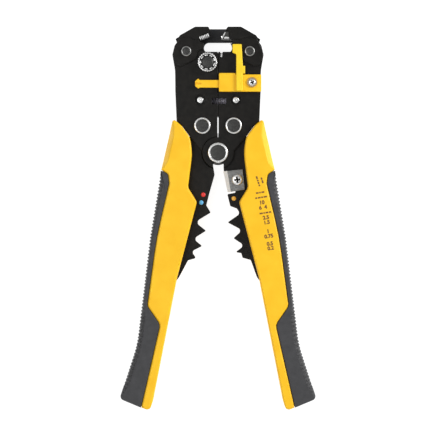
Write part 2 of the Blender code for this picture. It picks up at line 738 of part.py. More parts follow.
def adjuster(model):
    dial = prism(circle(*KNOB, KNOB_R), OVER_CHEEK, [circle(*KNOB, 3.7)])
    model.piece(dial, "adjuster_dial", "adjuster", "bright_steel")
    cap = spindle(KNOB, [(KNOB_STEM_R, FRONT_PLATE[0] - 0.2, 16.9), (3.4, 16.9, 18.4)])
    model.piece(cap, "adjuster_cap", "adjuster", "black_steel")


def cover_screws(model):
    for word, place in COVER_SCREWS.items():
        screw = spindle(place, [(2.1, 0.7, 1.2), (1.2, 1.2, BACK_PLATE[1] + 0.1)], 16)
        body = "left_frame" if place[0] < 0 else "right_frame"
        model.piece(screw, f"cover_screw_{word}", body, "bright_steel")


# ---------------------------------------------------------------- assembly

def clear_scene():
    for obj in list(bpy.data.objects):
        bpy.data.objects.remove(obj)


def main():
    clear_scene()
    model = Model("wire stripper")
    model.axis("pivot", (0, 0))
    for _, word in SIDES:
        model.axis(f"{word}_lever", (0, 0), "pivot")
    model.axis("left_frame", (0, 0), "pivot")
    model.axis("right_frame", (0, 0), "left_frame")
    model.axis("stop", STOP_SCREW, "right_frame")
    model.axis("adjuster", KNOB, "left_frame")
    pivot(model)
    for side, word in SIDES:
        model.axis(f"{word}_jaw", placed(JAW_PIVOT, side), f"{word}_frame")
        lever(model, side, word)
        handle(model, side, word)
        head_half(model, side, word)
        spring_post(model, side, word)
        jaw(model, side, word)
    jaw_inserts(model)
    tension_spring(model)
    cutter(model)
    wire_stop(model)
    adjuster(model)
    cover_screws(model)


main()
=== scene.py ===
"""Looks of the wire stripper: rounded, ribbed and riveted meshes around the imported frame.

Outlines are in millimetres from the pivot bolt, whose place comes from the frame. Those of both
halves are drawn on the +X side, and the left half is their mirror image.
"""
import json
import math

import bmesh
import bpy
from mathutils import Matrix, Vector

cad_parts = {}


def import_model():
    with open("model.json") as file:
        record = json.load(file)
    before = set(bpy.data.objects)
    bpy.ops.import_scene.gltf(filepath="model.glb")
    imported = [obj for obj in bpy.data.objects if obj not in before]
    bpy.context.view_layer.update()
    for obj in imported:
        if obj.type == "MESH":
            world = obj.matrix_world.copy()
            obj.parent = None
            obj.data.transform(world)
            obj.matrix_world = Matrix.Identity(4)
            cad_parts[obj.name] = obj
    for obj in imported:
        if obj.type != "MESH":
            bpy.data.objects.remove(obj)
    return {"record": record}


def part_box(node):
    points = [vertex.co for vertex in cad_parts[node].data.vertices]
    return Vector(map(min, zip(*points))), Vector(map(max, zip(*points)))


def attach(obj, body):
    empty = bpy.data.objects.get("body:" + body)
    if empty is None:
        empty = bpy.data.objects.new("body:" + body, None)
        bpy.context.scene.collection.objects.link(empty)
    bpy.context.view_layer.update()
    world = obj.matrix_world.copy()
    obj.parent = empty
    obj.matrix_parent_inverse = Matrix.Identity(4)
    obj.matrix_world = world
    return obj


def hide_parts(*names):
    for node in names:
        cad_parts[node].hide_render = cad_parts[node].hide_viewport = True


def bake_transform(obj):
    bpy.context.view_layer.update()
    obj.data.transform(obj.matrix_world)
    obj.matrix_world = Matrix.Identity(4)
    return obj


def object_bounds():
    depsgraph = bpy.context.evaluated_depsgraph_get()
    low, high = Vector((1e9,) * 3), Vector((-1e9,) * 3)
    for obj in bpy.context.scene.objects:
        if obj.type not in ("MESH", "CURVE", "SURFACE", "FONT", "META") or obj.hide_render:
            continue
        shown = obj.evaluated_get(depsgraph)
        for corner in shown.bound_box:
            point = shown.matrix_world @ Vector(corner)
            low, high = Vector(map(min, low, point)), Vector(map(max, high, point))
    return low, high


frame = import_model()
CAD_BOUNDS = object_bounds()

MM = 0.001
LEFT, RIGHT = -1, 1
SIDES = ((LEFT, "left"), (RIGHT, "right"))


def layer_of(node):
    """Lowest and highest Z of a CAD node, in millimetres."""
    low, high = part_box(node)
    return low.z / MM, high.z / MM


def centre_of(node):
    """A CAD node's middle in X and Y, in metres."""
    low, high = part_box(node)
    return (low.x + high.x) / 2, (low.y + high.y) / 2


PIVOT = centre_of("pivot_bolt")


def place_of(node):
    """A CAD node's middle in X and Y, in millimetres from the pivot."""
    x, y = centre_of(node)
    return (x - PIVOT[0]) / MM, (y - PIVOT[1]) / MM


SLEEVE = layer_of("left_handle_sleeve")
COVER = (layer_of("left_back_cover")[0] + 0.6, layer_of("left_back_cover")[1])
BACK_PLATE = layer_of("left_back_plate")
LEVER = layer_of("left_lever")
FRONT_PLATE = layer_of("left_front_plate")
CHEEK = (FRONT_PLATE[1] + 0.3, layer_of("left_upper_jaw")[1])
HUB_R = 8.4
HUB_ROOM_R = 8.7
HUB_HOLE_R = 3.06
HUB_LAP_R = 5.0
JAW_RIVET_HOLE_R = 2.06
STOP_RIVET_HOLE_R = 2.26
SPRING_POST_R = 1.2
POST_POCKET_FLOOR = 13.5
POST_POCKET_R = 2.9
COVER_SCREWS = ("top", "left", "right")
JAW_PIVOT = (place_of("right_jaw_rivet")[0], place_of("right_jaw_rivet")[1])
STOP_RIVET = place_of("right_stop_rivet")
SPRING_POST = place_of("right_spring_post")
DRIVE_PIN = place_of("right_drive_pin")
KNOB = place_of("adjuster_dial")
CUTTER_SCREW = place_of("cutter_screw")
STOP_SCREW = place_of("stop_screw")
BODY_OF = {node: body for body, nodes in frame["record"]["behaviour"]["bodies"].items() for node in nodes}


# ---------------------------------------------------------------- outlines

def arc(x, y, radius, start_deg, stop_deg, steps=16):
    span = stop_deg - start_deg
    angles = [math.radians(start_deg + span * i / steps) for i in range(steps + 1)]
    return [(x + radius * math.cos(a), y + radius * math.sin(a)) for a in angles]


def circle(x, y, radius, sides=64):
    return arc(x, y, radius, 0, 360 * (sides - 1) / sides, sides - 1)


def rounded(corners, step_deg=6.0):
    """A closed outline through corners (x, y) or (x, y, fillet radius)."""
    points = []
    for index, corner in enumerate(corners):
        here = Vector(corner[:2])
        radius = corner[2] if len(corner) > 2 else 0.0
        if not radius:
            points.append(tuple(here))
            continue
        before = (Vector(corners[index - 1][:2]) - here).normalized()
        after = (Vector(corners[(index + 1) % len(corners)][:2]) - here).normalized()
        half = before.angle(after) / 2
        centre = here + (before + after).normalized() * radius / math.sin(half)
        start = here + before * radius / math.tan(half) - centre
        stop = here + after * radius / math.tan(half) - centre
        sweep = math.degrees(start.angle_signed(stop))
        first = math.degrees(math.atan2(start.y, start.x))
        steps = max(2, round(abs(sweep) / step_deg))
        points += arc(centre.x, centre.y, radius, first, first - sweep, steps)
    return points


def obround(start, stop, radius, steps=16):
    turn = math.degrees(math.atan2(stop[1] - start[1], stop[0] - start[0]))
    return arc(*start, radius, turn + 90, turn + 270, steps) + arc(
        *stop, radius, turn - 90, turn + 90, steps
    )


def on_side(points, side):
    if side > 0:
        return list(points)
    return [(-x, y, *rest) for x, y, *rest in reversed(points)]


def placed(place, side):
    """A place given on the +X side, on the wanted side."""
    return side * place[0], place[1]


def turned_about_pivot(point, degrees):
    angle = math.radians(degrees)
    x, y = point
    return (
        x * math.cos(angle) - y * math.sin(angle),
        x * math.sin(angle) + y * math.cos(angle),
    )


def spaced_along(points, step):
    """The same open line with no two points further apart than step."""
    result = [points[0]]
    for start, stop in zip(points, points[1:]):
        here, there = Vector(start), Vector(stop)
        count = max(1, math.ceil((there - here).length / step))
        result += [tuple(here.lerp(there, i / count)) for i in range(1, count + 1)]
    return result


def closely_spaced(points, step):
    return spaced_along([*points, points[0]], step)[:-1]


# ---------------------------------------------------------------- meshes

def world(x, y, z):
    return Vector((PIVOT[0] + x * MM, PIVOT[1] + y * MM, z * MM))


def shade(obj, sharp_deg=38.0):
    obj.data.shade_smooth()
    obj.data.set_sharp_from_angle(angle=math.radians(sharp_deg))
    modifier = obj.modifiers.new("even normals", "WEIGHTED_NORMAL")
    modifier.keep_sharp = True
    return obj


def mesh_object(name, bm):
    bmesh.ops.recalc_face_normals(bm, faces=bm.faces)
    mesh = bpy.data.meshes.new(name)
    bm.to_mesh(mesh)
    bm.free()
    obj = bpy.data.objects.new(name, mesh)
    bpy.context.scene.collection.objects.link(obj)
    return obj


def mesh_of_curve(source):
    """The mesh of a curve object, which is removed."""
    bpy.context.scene.collection.objects.link(source)
    bpy.context.view_layer.update()
    mesh = bpy.data.meshes.new_from_object(source.evaluated_get(bpy.context.evaluated_depsgraph_get()))
    mesh.transform(source.matrix_world)
    curve = source.data
    bpy.data.objects.remove(source)
    bpy.data.curves.remove(curve)
    return mesh


def welded(name, mesh, sharp_deg=38.0):
    """A shaded piece from a mesh whose seams are closed first."""
    bm = bmesh.new()
    bm.from_mesh(mesh)
    bpy.data.meshes.remove(mesh)
    bmesh.ops.remove_doubles(bm, verts=bm.verts, dist=0.000002)
    return shade(mesh_object(name, bm), sharp_deg)


def rings_of(bm, place, profile, sides):
    """One ring of vertices for each point (radius, height) of a profile."""
    return [
        [bm.verts.new(world(x, y, height)) for x, y in circle(*place, radius, sides)]
        for radius, height in profile
    ]


def skin(bm, rings):
    """Faces from each ring of vertices to the next."""
    for lower, upper in zip(rings, rings[1:]):
        for i in range(len(lower)):
            j = (i + 1) % len(lower)
            bm.faces.new((lower[i], lower[j], upper[j], upper[i]))


def capped(name, bm, rings, sharp_deg):
    """A closed piece from rings of vertices, lowest first."""
    skin(bm, rings)
    bm.faces.new(list(reversed(rings[0])))
    bm.faces.new(rings[-1])
    return shade(mesh_object(name, bm), sharp_deg)


def plate(name, outer, layer, holes=(), edge=0.22, edge_steps=2):
    """A flat piece with holes, its edges rounded by edge."""
    low, high = layer
    curve = bpy.data.curves.new(name, "CURVE")
    curve.dimensions = "2D"
    curve.fill_mode = "BOTH"
    curve.extrude = ((high - low) / 2 - edge) * MM
    curve.bevel_depth = edge * MM
    curve.bevel_resolution = edge_steps
    curve.offset = -edge * MM
    for points in (outer, *holes):
        spline = curve.splines.new("POLY")
        spline.points.add(len(points) - 1)
        for point, place in zip(spline.points, points):
            point.co = (*world(place[0], place[1], 0.0), 1.0)
        spline.use_cyclic_u = True
    source = bpy.data.objects.new(name, curve)
    source.location.z = (low + high) / 2 * MM
    return welded(name, mesh_of_curve(source))


def joined(name, *objects):
    """Several closed shapes as one piece."""
    bm = bmesh.new()
    for obj in objects:
        bm.from_mesh(obj.data)
        old = obj.data
        bpy.data.objects.remove(obj)
        bpy.data.meshes.remove(old)
    return shade(mesh_object(name, bm))


def turned(name, place, profile, sides=64):
    """A turned piece on an upright axis through profile points (radius, height), bottom first."""
    bm = bmesh.new()
    return capped(name, bm, rings_of(bm, place, profile, sides), 50.0)


def turned_ring(name, place, profile, sides=64):
    """A turned ring: its profile is a closed loop of points (radius, height)."""
    bm = bmesh.new()
    rings = rings_of(bm, place, profile, sides)
    skin(bm, [*rings, rings[0]])
    return shade(mesh_object(name, bm), 50.0)


def tube(name, points, radius, sides=10):
    """A round wire through points, each (x, y, z)."""
    curve = bpy.data.curves.new(name, "CURVE")
    curve.dimensions = "3D"
    curve.bevel_depth = radius * MM
    curve.bevel_resolution = max(1, sides // 4)
    curve.use_fill_caps = True
    spline = curve.splines.new("POLY")
    spline.points.add(len(points) - 1)
    for point, place in zip(spline.points, points):
        point.co = (*world(*place), 1.0)
    return welded(name, mesh_of_curve(bpy.data.objects.new(name, curve)), 60.0)


def cut(obj, *tools):
    """Take tool solids out of obj, and remove them."""
    for tool in tools:
        modifier = obj.modifiers.new("cut", "BOOLEAN")
        modifier.operation = "DIFFERENCE"
        modifier.object = tool
        modifier.solver = "EXACT"
    for modifier in [m for m in obj.modifiers if m.type == "WEIGHTED_NORMAL"]:
        obj.modifiers.remove(modifier)
    bpy.context.view_layer.update()
    mesh = bpy.data.meshes.new_from_object(obj.evaluated_get(bpy.context.evaluated_depsgraph_get()))
    obj.modifiers.clear()
    obj.data = mesh
    for tool in tools:
        bpy.data.objects.remove(tool)
    return shade(obj, 32.0)


def inward_normals(points):
    """For each point of a closed outline, the direction into it, longer at a corner."""
    area = sum(a[0] * b[1] - b[0] * a[1] for a, b in zip(points, points[1:] + points[:1]))
    turn = 1.0 if area > 0 else -1.0
    normals = []
    for index, point in enumerate(points):
        here = Vector(point)
        before = (here - Vector(points[index - 1])).normalized()
        after = (Vector(points[(index + 1) % len(points)]) - here).normalized()
        first = Vector((-before.y, before.x)) * turn
        second = Vector((-after.y, after.x)) * turn
        middle = (first + second).normalized()
        normals.append(middle / max(0.6, middle.dot(first)))
    return normals


# Sections of a moulded edge, from the side wall to the face: (share of depth, share of drop).
ROUND_EDGE = [(1 - math.cos(a), 1 - math.sin(a)) for a in (math.radians(15 * i) for i in range(7))]
SLOPED_EDGE = [(0.0, 1.0), (0.03, 0.93), (0.10, 0.82), (0.45, 0.40), (0.80, 0.06), (0.92, 0.01), (1.0, 0.0)]


def moulded(name, outline, layer, edge_at, ribs_at=None):
    """A moulded solid: edge_at(x, y) gives (depth, drop, slope) of the edge there, and
    ribs_at(index) how far the side is pressed in. Front and back are alike."""
    low, high = layer
    normals = inward_normals(outline)
    edges = [edge_at(x, y) for x, y in outline]
    ribs = [ribs_at(i) if ribs_at else 0.0 for i in range(len(outline))]
    rings = []
    for k in range(len(ROUND_EDGE)):
        ring = []
        for (x, y), normal, (depth, drop, slope), rib in zip(outline, normals, edges, ribs):
            share = ROUND_EDGE[k][0] * (1 - slope) + SLOPED_EDGE[k][0] * slope
            fall = ROUND_EDGE[k][1] * (1 - slope) + SLOPED_EDGE[k][1] * slope
            inset = depth * share + rib * (1 - share) ** 1.5
            ring.append((x + normal.x * inset, y + normal.y * inset, fall * drop))
        rings.append(ring)
    bm = bmesh.new()
    levels = [[bm.verts.new(world(x, y, low + d)) for x, y, d in ring] for ring in reversed(rings)]
    levels += [[bm.verts.new(world(x, y, high - d)) for x, y, d in ring] for ring in rings]
    return capped(name, bm, levels, 60.0)


# ---------------------------------------------------------------- materials

class Finish:
    """A Principled material with procedural variation, built up call by call."""

    def __init__(self, name, colour, roughness, metallic=0.0, **sockets):
        self.material = bpy.data.materials.new(name)
        self.material.use_nodes = True
        self.tree = self.material.node_tree
        self.shader = self.tree.nodes["Principled BSDF"]
        self.shader.inputs["Base Color"].default_value = (*colour, 1.0)
        self.shader.inputs["Roughness"].default_value = roughness
        self.shader.inputs["Metallic"].default_value = metallic
        for socket, value in sockets.items():
            self.shader.inputs[socket.replace("_", " ")].default_value = value
        self.coords = self.tree.nodes.new("ShaderNodeTexCoord")

    def noise(self, per_mm, detail=3.0, stretch=(1.0, 1.0, 1.0)):
        mapping = self.tree.nodes.new("ShaderNodeMapping")
        mapping.inputs["Scale"].default_value = stretch
        node = self.tree.nodes.new("ShaderNodeTexNoise")
        node.inputs["Scale"].default_value = per_mm / MM
        node.inputs["Detail"].default_value = detail
        self.tree.links.new(self.coords.outputs["Object"], mapping.inputs["Vector"])
        self.tree.links.new(mapping.outputs["Vector"], node.inputs["Vector"])
        return node.outputs["Fac"]

    def vary_colour(self, first, second, per_mm, detail=3.0, stretch=(1.0, 1.0, 1.0)):
        ramp = self.tree.nodes.new("ShaderNodeValToRGB")
        ramp.color_ramp.elements[0].position = 0.3
        ramp.color_ramp.elements[1].position = 0.7
        ramp.color_ramp.elements[0].color = (*first, 1.0)
        ramp.color_ramp.elements[1].color = (*second, 1.0)
        self.tree.links.new(self.noise(per_mm, detail, stretch), ramp.inputs["Fac"])
        self.tree.links.new(ramp.outputs["Color"], self.shader.inputs["Base Color"])
        return self

    def vary_roughness(self, low, high, per_mm, detail=3.0, stretch=(1.0, 1.0, 1.0)):
        span = self.tree.nodes.new("ShaderNodeMapRange")
        span.inputs["From Min"].default_value = 0.3
        span.inputs["From Max"].default_value = 0.7
        span.inputs["To Min"].default_value = low
        span.inputs["To Max"].default_value = high
        self.tree.links.new(self.noise(per_mm, detail, stretch), span.inputs["Value"])
        self.tree.links.new(span.outputs["Result"], self.shader.inputs["Roughness"])
        return self

    def grain(self, per_mm, depth_mm, strength=0.5, detail=2.0, stretch=(1.0, 1.0, 1.0)):
        bump = self.tree.nodes.new("ShaderNodeBump")
        bump.inputs["Strength"].default_value = strength
        bump.inputs["Distance"].default_value = depth_mm * MM
        self.tree.links.new(self.noise(per_mm, detail, stretch), bump.inputs["Height"])
        self.tree.links.new(bump.outputs["Normal"], self.shader.inputs["Normal"])
        return self


def make_finishes():
    black = Finish("black_oxide_steel", (0.007, 0.006, 0.005), 0.36, 0.1, Specular_IOR_Level=0.22)
    black.vary_colour((0.005, 0.0045, 0.0038), (0.010, 0.009, 0.0075), 0.35)
    black.vary_roughness(0.30, 0.46, 1.4, 4.0).grain(5.0, 0.02, 0.25)
    bright = Finish("nickel_plate", (0.88, 0.88, 0.86), 0.28, 0.9)
    bright.vary_colour((0.78, 0.78, 0.77), (0.93, 0.93, 0.92), 1.2)
    bright.vary_roughness(0.22, 0.36, 3.0).grain(6.0, 0.01, 0.2)
    dull = Finish("dull_plate", (0.36, 0.36, 0.35), 0.34, 0.9)
    dull.vary_colour((0.28, 0.28, 0.27), (0.44, 0.44, 0.43), 1.4)
    dull.vary_roughness(0.28, 0.42, 3.0).grain(6.0, 0.015, 0.3)
    face = Finish("dark_turned_steel", (0.05, 0.05, 0.049), 0.42, 0.7)
    face.vary_colour((0.032, 0.032, 0.031), (0.075, 0.075, 0.072), 1.6, 4.0)
    face.vary_roughness(0.34, 0.55, 4.0).grain(8.0, 0.02, 0.35)
    grey = Finish("ground_steel", (0.25, 0.25, 0.25), 0.38, 0.85)
    grey.vary_colour((0.17, 0.17, 0.17), (0.32, 0.32, 0.31), 1.5, 4.0, (0.3, 3.0, 1.0))
    grey.vary_roughness(0.3, 0.48, 3.0, 3.0, (0.3, 4.0, 1.0)).grain(6.0, 0.015, 0.3, 2.0, (0.2, 4.0, 1.0))
    yellow = Finish("yellow_abs", (1.0, 0.56, 0.013), 0.4, 0.0, Specular_IOR_Level=0.3)
    yellow.vary_colour((0.96, 0.53, 0.010), (1.0, 0.59, 0.018), 0.12, 3.0)
    yellow.vary_roughness(0.34, 0.46, 2.0).grain(4.5, 0.02, 0.18)
    light = Finish("light_yellow_abs", (1.0, 0.66, 0.02), 0.4, 0.0, Specular_IOR_Level=0.3)
    light.vary_colour((0.97, 0.64, 0.018), (1.0, 0.70, 0.03), 0.3)
    light.vary_roughness(0.34, 0.46, 2.0).grain(4.5, 0.02, 0.18)
    plastic = Finish("dark_cover_plastic", (0.022, 0.022, 0.024), 0.5, 0.0, Specular_IOR_Level=0.35)
    plastic.vary_colour((0.018, 0.018, 0.020), (0.027, 0.027, 0.030), 0.5)
    plastic.vary_roughness(0.42, 0.58, 2.5).grain(7.0, 0.05, 0.5)
    grip = Finish("soft_grip", (0.040, 0.040, 0.043), 0.66, 0.0, Sheen_Weight=0.15, Sheen_Roughness=0.5)
    grip.vary_colour((0.034, 0.034, 0.037), (0.047, 0.047, 0.051), 0.3)
    grip.vary_roughness(0.58, 0.74, 2.0).grain(5.5, 0.05, 0.45)
    spring = Finish("spring_wire", (0.90, 0.86, 0.97), 0.4, 0.2)
    spring.vary_colour((0.82, 0.78, 0.92), (0.95, 0.92, 0.99), 1.5)
    spring.vary_roughness(0.22, 0.36, 4.0).grain(8.0, 0.01, 0.2)
    brass = Finish("brass_plate", (0.62, 0.42, 0.18), 0.3, 1.0)
    brass.vary_colour((0.52, 0.33, 0.14), (0.72, 0.56, 0.32), 1.6)
    brass.vary_roughness(0.24, 0.4, 4.0).grain(8.0, 0.01, 0.25)
    # Near-white steel for the cutter's ground bevel: partly the bevel's real bright grinding, partly a
    # painted highlight.
    edge = Finish("ground_edge_painted_highlight", (0.93, 0.93, 0.92), 0.34, 0.2)
    edge.vary_colour((0.86, 0.86, 0.85), (0.96, 0.96, 0.95), 1.5)
    edge.vary_roughness(0.28, 0.4, 4.0).grain(8.0, 0.01, 0.2)
    finishes = {
        "ground_edge_painted_highlight": edge,
        "black_steel": black, "bright_steel": bright, "dull_steel": dull, "face_steel": face,
        "grey_steel": grey, "yellow_plastic": yellow, "light_yellow": light,
        "dark_plastic": plastic, "grey_grip": grip, "spring_steel": spring, "brass": brass,
    }
    paints = {"red": (0.62, 0.02, 0.02), "blue": (0.10, 0.42, 0.78), "yellow": (0.95, 0.46, 0.05)}
    for word, colour in paints.items():
        paint = Finish(f"{word}_enamel", colour, 0.35)
        lighter = tuple(min(1.0, c * 1.2 + 0.02) for c in colour)
        paint.vary_colour(colour, lighter, 1.5).vary_roughness(0.3, 0.42, 3.0)
        finishes[f"{word}_paint"] = paint
    ink = Finish("brown_ink", (0.16, 0.06, 0.012), 0.6)
    ink.vary_colour((0.13, 0.045, 0.01), (0.22, 0.09, 0.02), 2.0)
    finishes["ink"] = ink
    return {slot: finish.material for slot, finish in finishes.items()}


FINISHES = make_finishes()


def dress(obj, finish):
    obj.data.materials.clear()
    obj.data.materials.append(FINISHES[finish])
    return obj


def stands_for(obj, node, finish):
    """The piece takes a CAD node's place and rides on its body."""
    dress(obj, finish)
    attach(obj, BODY_OF[node])
    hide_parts(node)
    return obj


def beside(obj, node, finish):
    """An extra piece that rides with a CAD node."""
    dress(obj, finish)
    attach(obj, BODY_OF[node])
    return obj


# ---------------------------------------------------------------- handles

SLEEVE_TIP = (24.1, 18.3)
GRIP_TOP = (30.4, -9.5)
GRIP_FOOT = (41.15, -136.37)
PARTING = 0.16
GRIP_LINE = [
    (26.8, -11.6, 2.2), (26.2, -16.5, 4.0), (32.9, -45.0, 200.0), (37.9, -82.0, 4.0),
    (31.0, -92.0, 5.0),
]
GRIP_OUTER = [(52.7, -131.62, 2.4), (43.5, -103.0, 60.0), (36.6, -45.4, 150.0), (31.0, -12.0, 60.0)]
SLEEVE_INNER = [
    (36.5, -138.28, 2.2), (34.9, -133.0, 6.0), (22.2, -68.0, 60.0), (11.3, -26.4, 3.0),
    (16.1, -18.6, 4.0), (13.7, 0.5, 30.0), (15.1, 8.4, 8.0), (19.6, 14.5, 8.0),
]
RIB_PITCH = 1.8
RIB_DEPTH = 0.85
RIBS_FROM, RIBS_TO = -11.5, -126.0


def near(x, y, corner, reach):
    """0 at a corner, rising to 1 at reach from it."""
    return min(1.0, math.dist((abs(x), y), corner) / reach)


def sleeve_edge(x, y):
    """Wide slope on the outer edge above the grip, a small round everywhere else."""
    run = (SLEEVE_TIP[1] - y) / (SLEEVE_TIP[1] - GRIP_TOP[1])
    outer_x = SLEEVE_TIP[0] + (GRIP_TOP[0] - SLEEVE_TIP[0]) * run
    on_outer = max(0.0, 1.0 - abs(abs(x) - outer_x) / 1.2) if y > GRIP_TOP[1] - 1 else 0.0
    wide = on_outer * near(x, y, SLEEVE_TIP, 9.0) * near(x, y, GRIP_TOP, 5.0)
    corner = min(
        near(x, y, SLEEVE_TIP, 4.0), near(x, y, GRIP_FOOT, 1.2), near(x, y, GRIP_TOP, 2.0)
    )
    depth = (1.0 + 2.0 * wide) * min(1.0, 0.35 + 0.9 * corner)
    return depth, 1.0 + 4.2 * wide, wide


def sleeve(side, word):
    corners = [(*SLEEVE_TIP, 1.2), (GRIP_TOP[0], GRIP_TOP[1] + 0.3)]
    corners += [(x - PARTING, y, radius) for x, y, radius in GRIP_LINE]
    corners += [(GRIP_FOOT[0] - PARTING, GRIP_FOOT[1])] + SLEEVE_INNER
    outline = closely_spaced(on_side(rounded(corners), side), 0.8)
    piece = moulded(f"{word}_sleeve_shell", outline, SLEEVE, sleeve_edge)
    stands_for(piece, f"{word}_handle_sleeve", "yellow_plastic")


def parting_shade_strip(side, word):
    """A dark strip inside the groove between sleeve and grip: painted shade for the groove, and it keeps
    light from shining through.
    """
    reach = PARTING + 0.5
    line = [(GRIP_TOP[0] - 1.0, GRIP_TOP[1] - 0.5, 0.0)] + GRIP_LINE
    line.append((GRIP_FOOT[0], GRIP_FOOT[1] + 0.7, 0.0))
    near_side = [(x - reach, y, radius) for x, y, radius in line]
    far_side = [(x + reach, y, radius) for x, y, radius in reversed(line)]
    outline = on_side(rounded(near_side + far_side), side)
    strip = plate(f"{word}_parting_shade_strip", outline, (SLEEVE[0] + 1.2, SLEEVE[1] - 1.2), (), 0.1, 1)
    beside(strip, f"{word}_handle_sleeve", "dark_plastic")


def grip(side, word):
    corners = [(*GRIP_TOP, 0.6)]
    corners += [(x + PARTING, y, radius) for x, y, radius in GRIP_LINE]
    corners += [(GRIP_FOOT[0] + PARTING, GRIP_FOOT[1])] + GRIP_OUTER
    outline = closely_spaced(on_side(rounded(corners, 3.0), side), RIB_PITCH / 8)
    inner_line = spaced_along([GRIP_TOP, *[corner[:2] for corner in GRIP_LINE], GRIP_FOOT], 1.0)
    outer_line = spaced_along(rounded([(60.0, -140.0)] + GRIP_OUTER + [SLEEVE_TIP], 3.0)[1:-1], 0.5)

    def distance(x, y, line):
        return min(math.dist((abs(x), y), point) for point in line)

    on_outer = [max(0.0, 1.0 - distance(x, y, outer_line) / 0.7) for x, y in outline]
    shares = dict(zip(outline, on_outer))
    lengths = [0.0]
    for start, stop in zip(outline, outline[1:]):
        lengths.append(lengths[-1] + math.dist(start, stop))

    def edge_at(x, y):
        share = shares[x, y]
        wide = min(3.4, 0.55 * distance(x, y, inner_line))
        depth = 0.4 + max(0.0, wide - 0.4) * share
        ends = min(near(x, y, GRIP_FOOT, 4.0), near(x, y, GRIP_TOP, 8.0), near(x, y, GRIP_OUTER[0][:2], 9.0))
        return depth * (0.3 + 0.7 * ends), 0.4 + 4.6 * share * ends, share

    def ribs_at(index):
        y = outline[index][1]
        fade = min(1.0, max(0.0, (RIBS_FROM - y) / 2.5), max(0.0, (y - RIBS_TO) / 4.0))
        wave = 0.5 - 0.5 * math.cos(2 * math.pi * lengths[index] / RIB_PITCH)
        return RIB_DEPTH * wave * fade * on_outer[index]

    piece = moulded(f"{word}_grip_skin", outline, SLEEVE, edge_at, ribs_at)
    stands_for(piece, f"{word}_grip", "grey_grip")


# ---------------------------------------------------------------- levers

LEFT_TEETH = [
    (16.1, -57.8, 0.8), (11.8, -56.6, 0.7), (14.3, -53.0, 1.6), (8.5, -50.1, 0.5),
    (13.3, -46.2, 1.7), (6.4, -41.9, 0.5), (12.3, -37.2, 1.9), (3.9, -32.1, 0.6),
    (6.3, -28.2, 1.0), (4.6, -21.5, 3.0), (1.8, -11.7, 3.0),
]
RIGHT_TEETH = [
    (17.6, -57.6, 1.0), (13.2, -56.4, 0.5), (12.5, -53.9, 0.4), (9.4, -53.4, 0.4),
    (14.2, -49.8, 1.6), (8.3, -45.9, 0.5), (13.1, -41.6, 1.7), (5.1, -37.4, 0.5),
    (12.0, -32.6, 1.8), (10.1, -29.9, 0.8), (6.6, -28.6, 0.8), (5.0, -22.2, 0.6),
    (9.4, -21.4, 0.5), (8.8, -11.2, 0.5), (3.2, -10.6, 0.4),
]


def half_layers(layer):
    low, high = layer
    middle = (low + high) / 2
    return (low, middle - 0.15), (middle + 0.15, high)


def hub_outline():
    """The round hub with the throat of the cutter gap let into it."""
    return arc(0, 0, HUB_R, -69, 249, 72) + [(-2.6, -5.9), (3.0, -5.9)]


def round_the_bolt(start_deg, stop_deg):
    """The edge of what ends on the hub: well inside its rim, and clear of the bolt."""
    return arc(0, 0, HUB_LAP_R, start_deg, stop_deg)


def hub(name, layer):
    return plate(name, hub_outline(), layer, [circle(0, 0, HUB_HOLE_R)], 0.18)


def lever(side, word):
    teeth = LEFT_TEETH if side < 0 else RIGHT_TEETH
    throat_x = 2.6 if side < 0 else 3.0
    start_deg = math.degrees(math.atan2(-8.2, throat_x))
    tang = [
        (19.0, 8.8, 3.0), (25.2, -14.0, 20.0), (31.5, -60.0, 60.0), (41.0, -110.0, 2.0),
        (35.8, -111.0, 2.0), (26.6, -74.0, 20.0), (21.0, -67.0, 6.0),
    ]
    lower, upper = half_layers(LEVER)
    own = lower if side < 0 else upper
    throat = [(throat_x, -7.2), (throat_x, -5.9), (0.3, -5.9)]
    shank_lap = [(0.3, 8.8)] + tang + teeth + throat + round_the_bolt(-86, 86)
    shank_free = tang + teeth + [(throat_x, -8.3)] + arc(0, 0, HUB_ROOM_R, start_deg, 89, 24) + [(0.3, 8.8)]
    thick = plate("shank", on_side(rounded(shank_free), side), LEVER, (), 0.3)
    thin = plate("neck", on_side(rounded(shank_lap), side), (own[0] + 0.02, own[1] - 0.02), (), 0.1)
    rivet = placed(STOP_RIVET, side)
    post = placed(SPRING_POST, side)
    lost_motion = side * 4.0
    arm_corners = [
        (0.4, 6.0), (1.6, 11.0, 4.0), (8.9, 43.7, 3.0), (9.4, 50.9, 3.2), (16.5, 50.3, 3.2),
        (16.2, 44.0, 6.0), (13.6, 22.0, 8.0), (13.6, 10.0, 5.0), (6.0, 0.0),
    ]
    holes = [
        obround(rivet, turned_about_pivot(rivet, lost_motion), 2.4),
        obround(post, turned_about_pivot(post, lost_motion), 1.4),
        circle(*placed(DRIVE_PIN, side), 1.66),
    ]
    arm = plate("arm", on_side(rounded(arm_corners), side), own, holes, 0.15)
    piece = joined(f"{word}_lever_steel", thick, thin, hub("hub", own), arm)
    stands_for(piece, f"{word}_lever", "black_steel")
    low, high = layer_of(f"{word}_drive_pin")
    profile = [(1.4, low), (1.6, low + 0.2), (1.6, high - 0.2), (1.4, high)]
    node = f"{word}_drive_pin"
    stands_for(turned(f"{word}_pin", place_of(node), profile, 32), node, "bright_steel")


def size_dots():
    for word in ("red", "blue", "yellow"):
        node = f"{word}_size_dot"
        low, high = layer_of(node)
        profile = [
            (1.2, low), (1.2, high - 0.1), (1.1, high), (0.8, high + 0.18), (0.4, high + 0.28),
            (0.1, high + 0.3),
        ]
        stands_for(turned(f"{word}_dot", place_of(node), profile, 32), node, f"{word}_paint")


# ---------------------------------------------------------------- head

HEAD_EDGE_TOP = [(24.5, 52.6, 3.0), (23.0, 44.0, 20.0)]
HEAD_EDGE_LOW = [(22.9, 33.0), (22.2, 16.95, 0.3), (19.48, 14.72, 6.0), (14.92, 8.52, 5.0)]


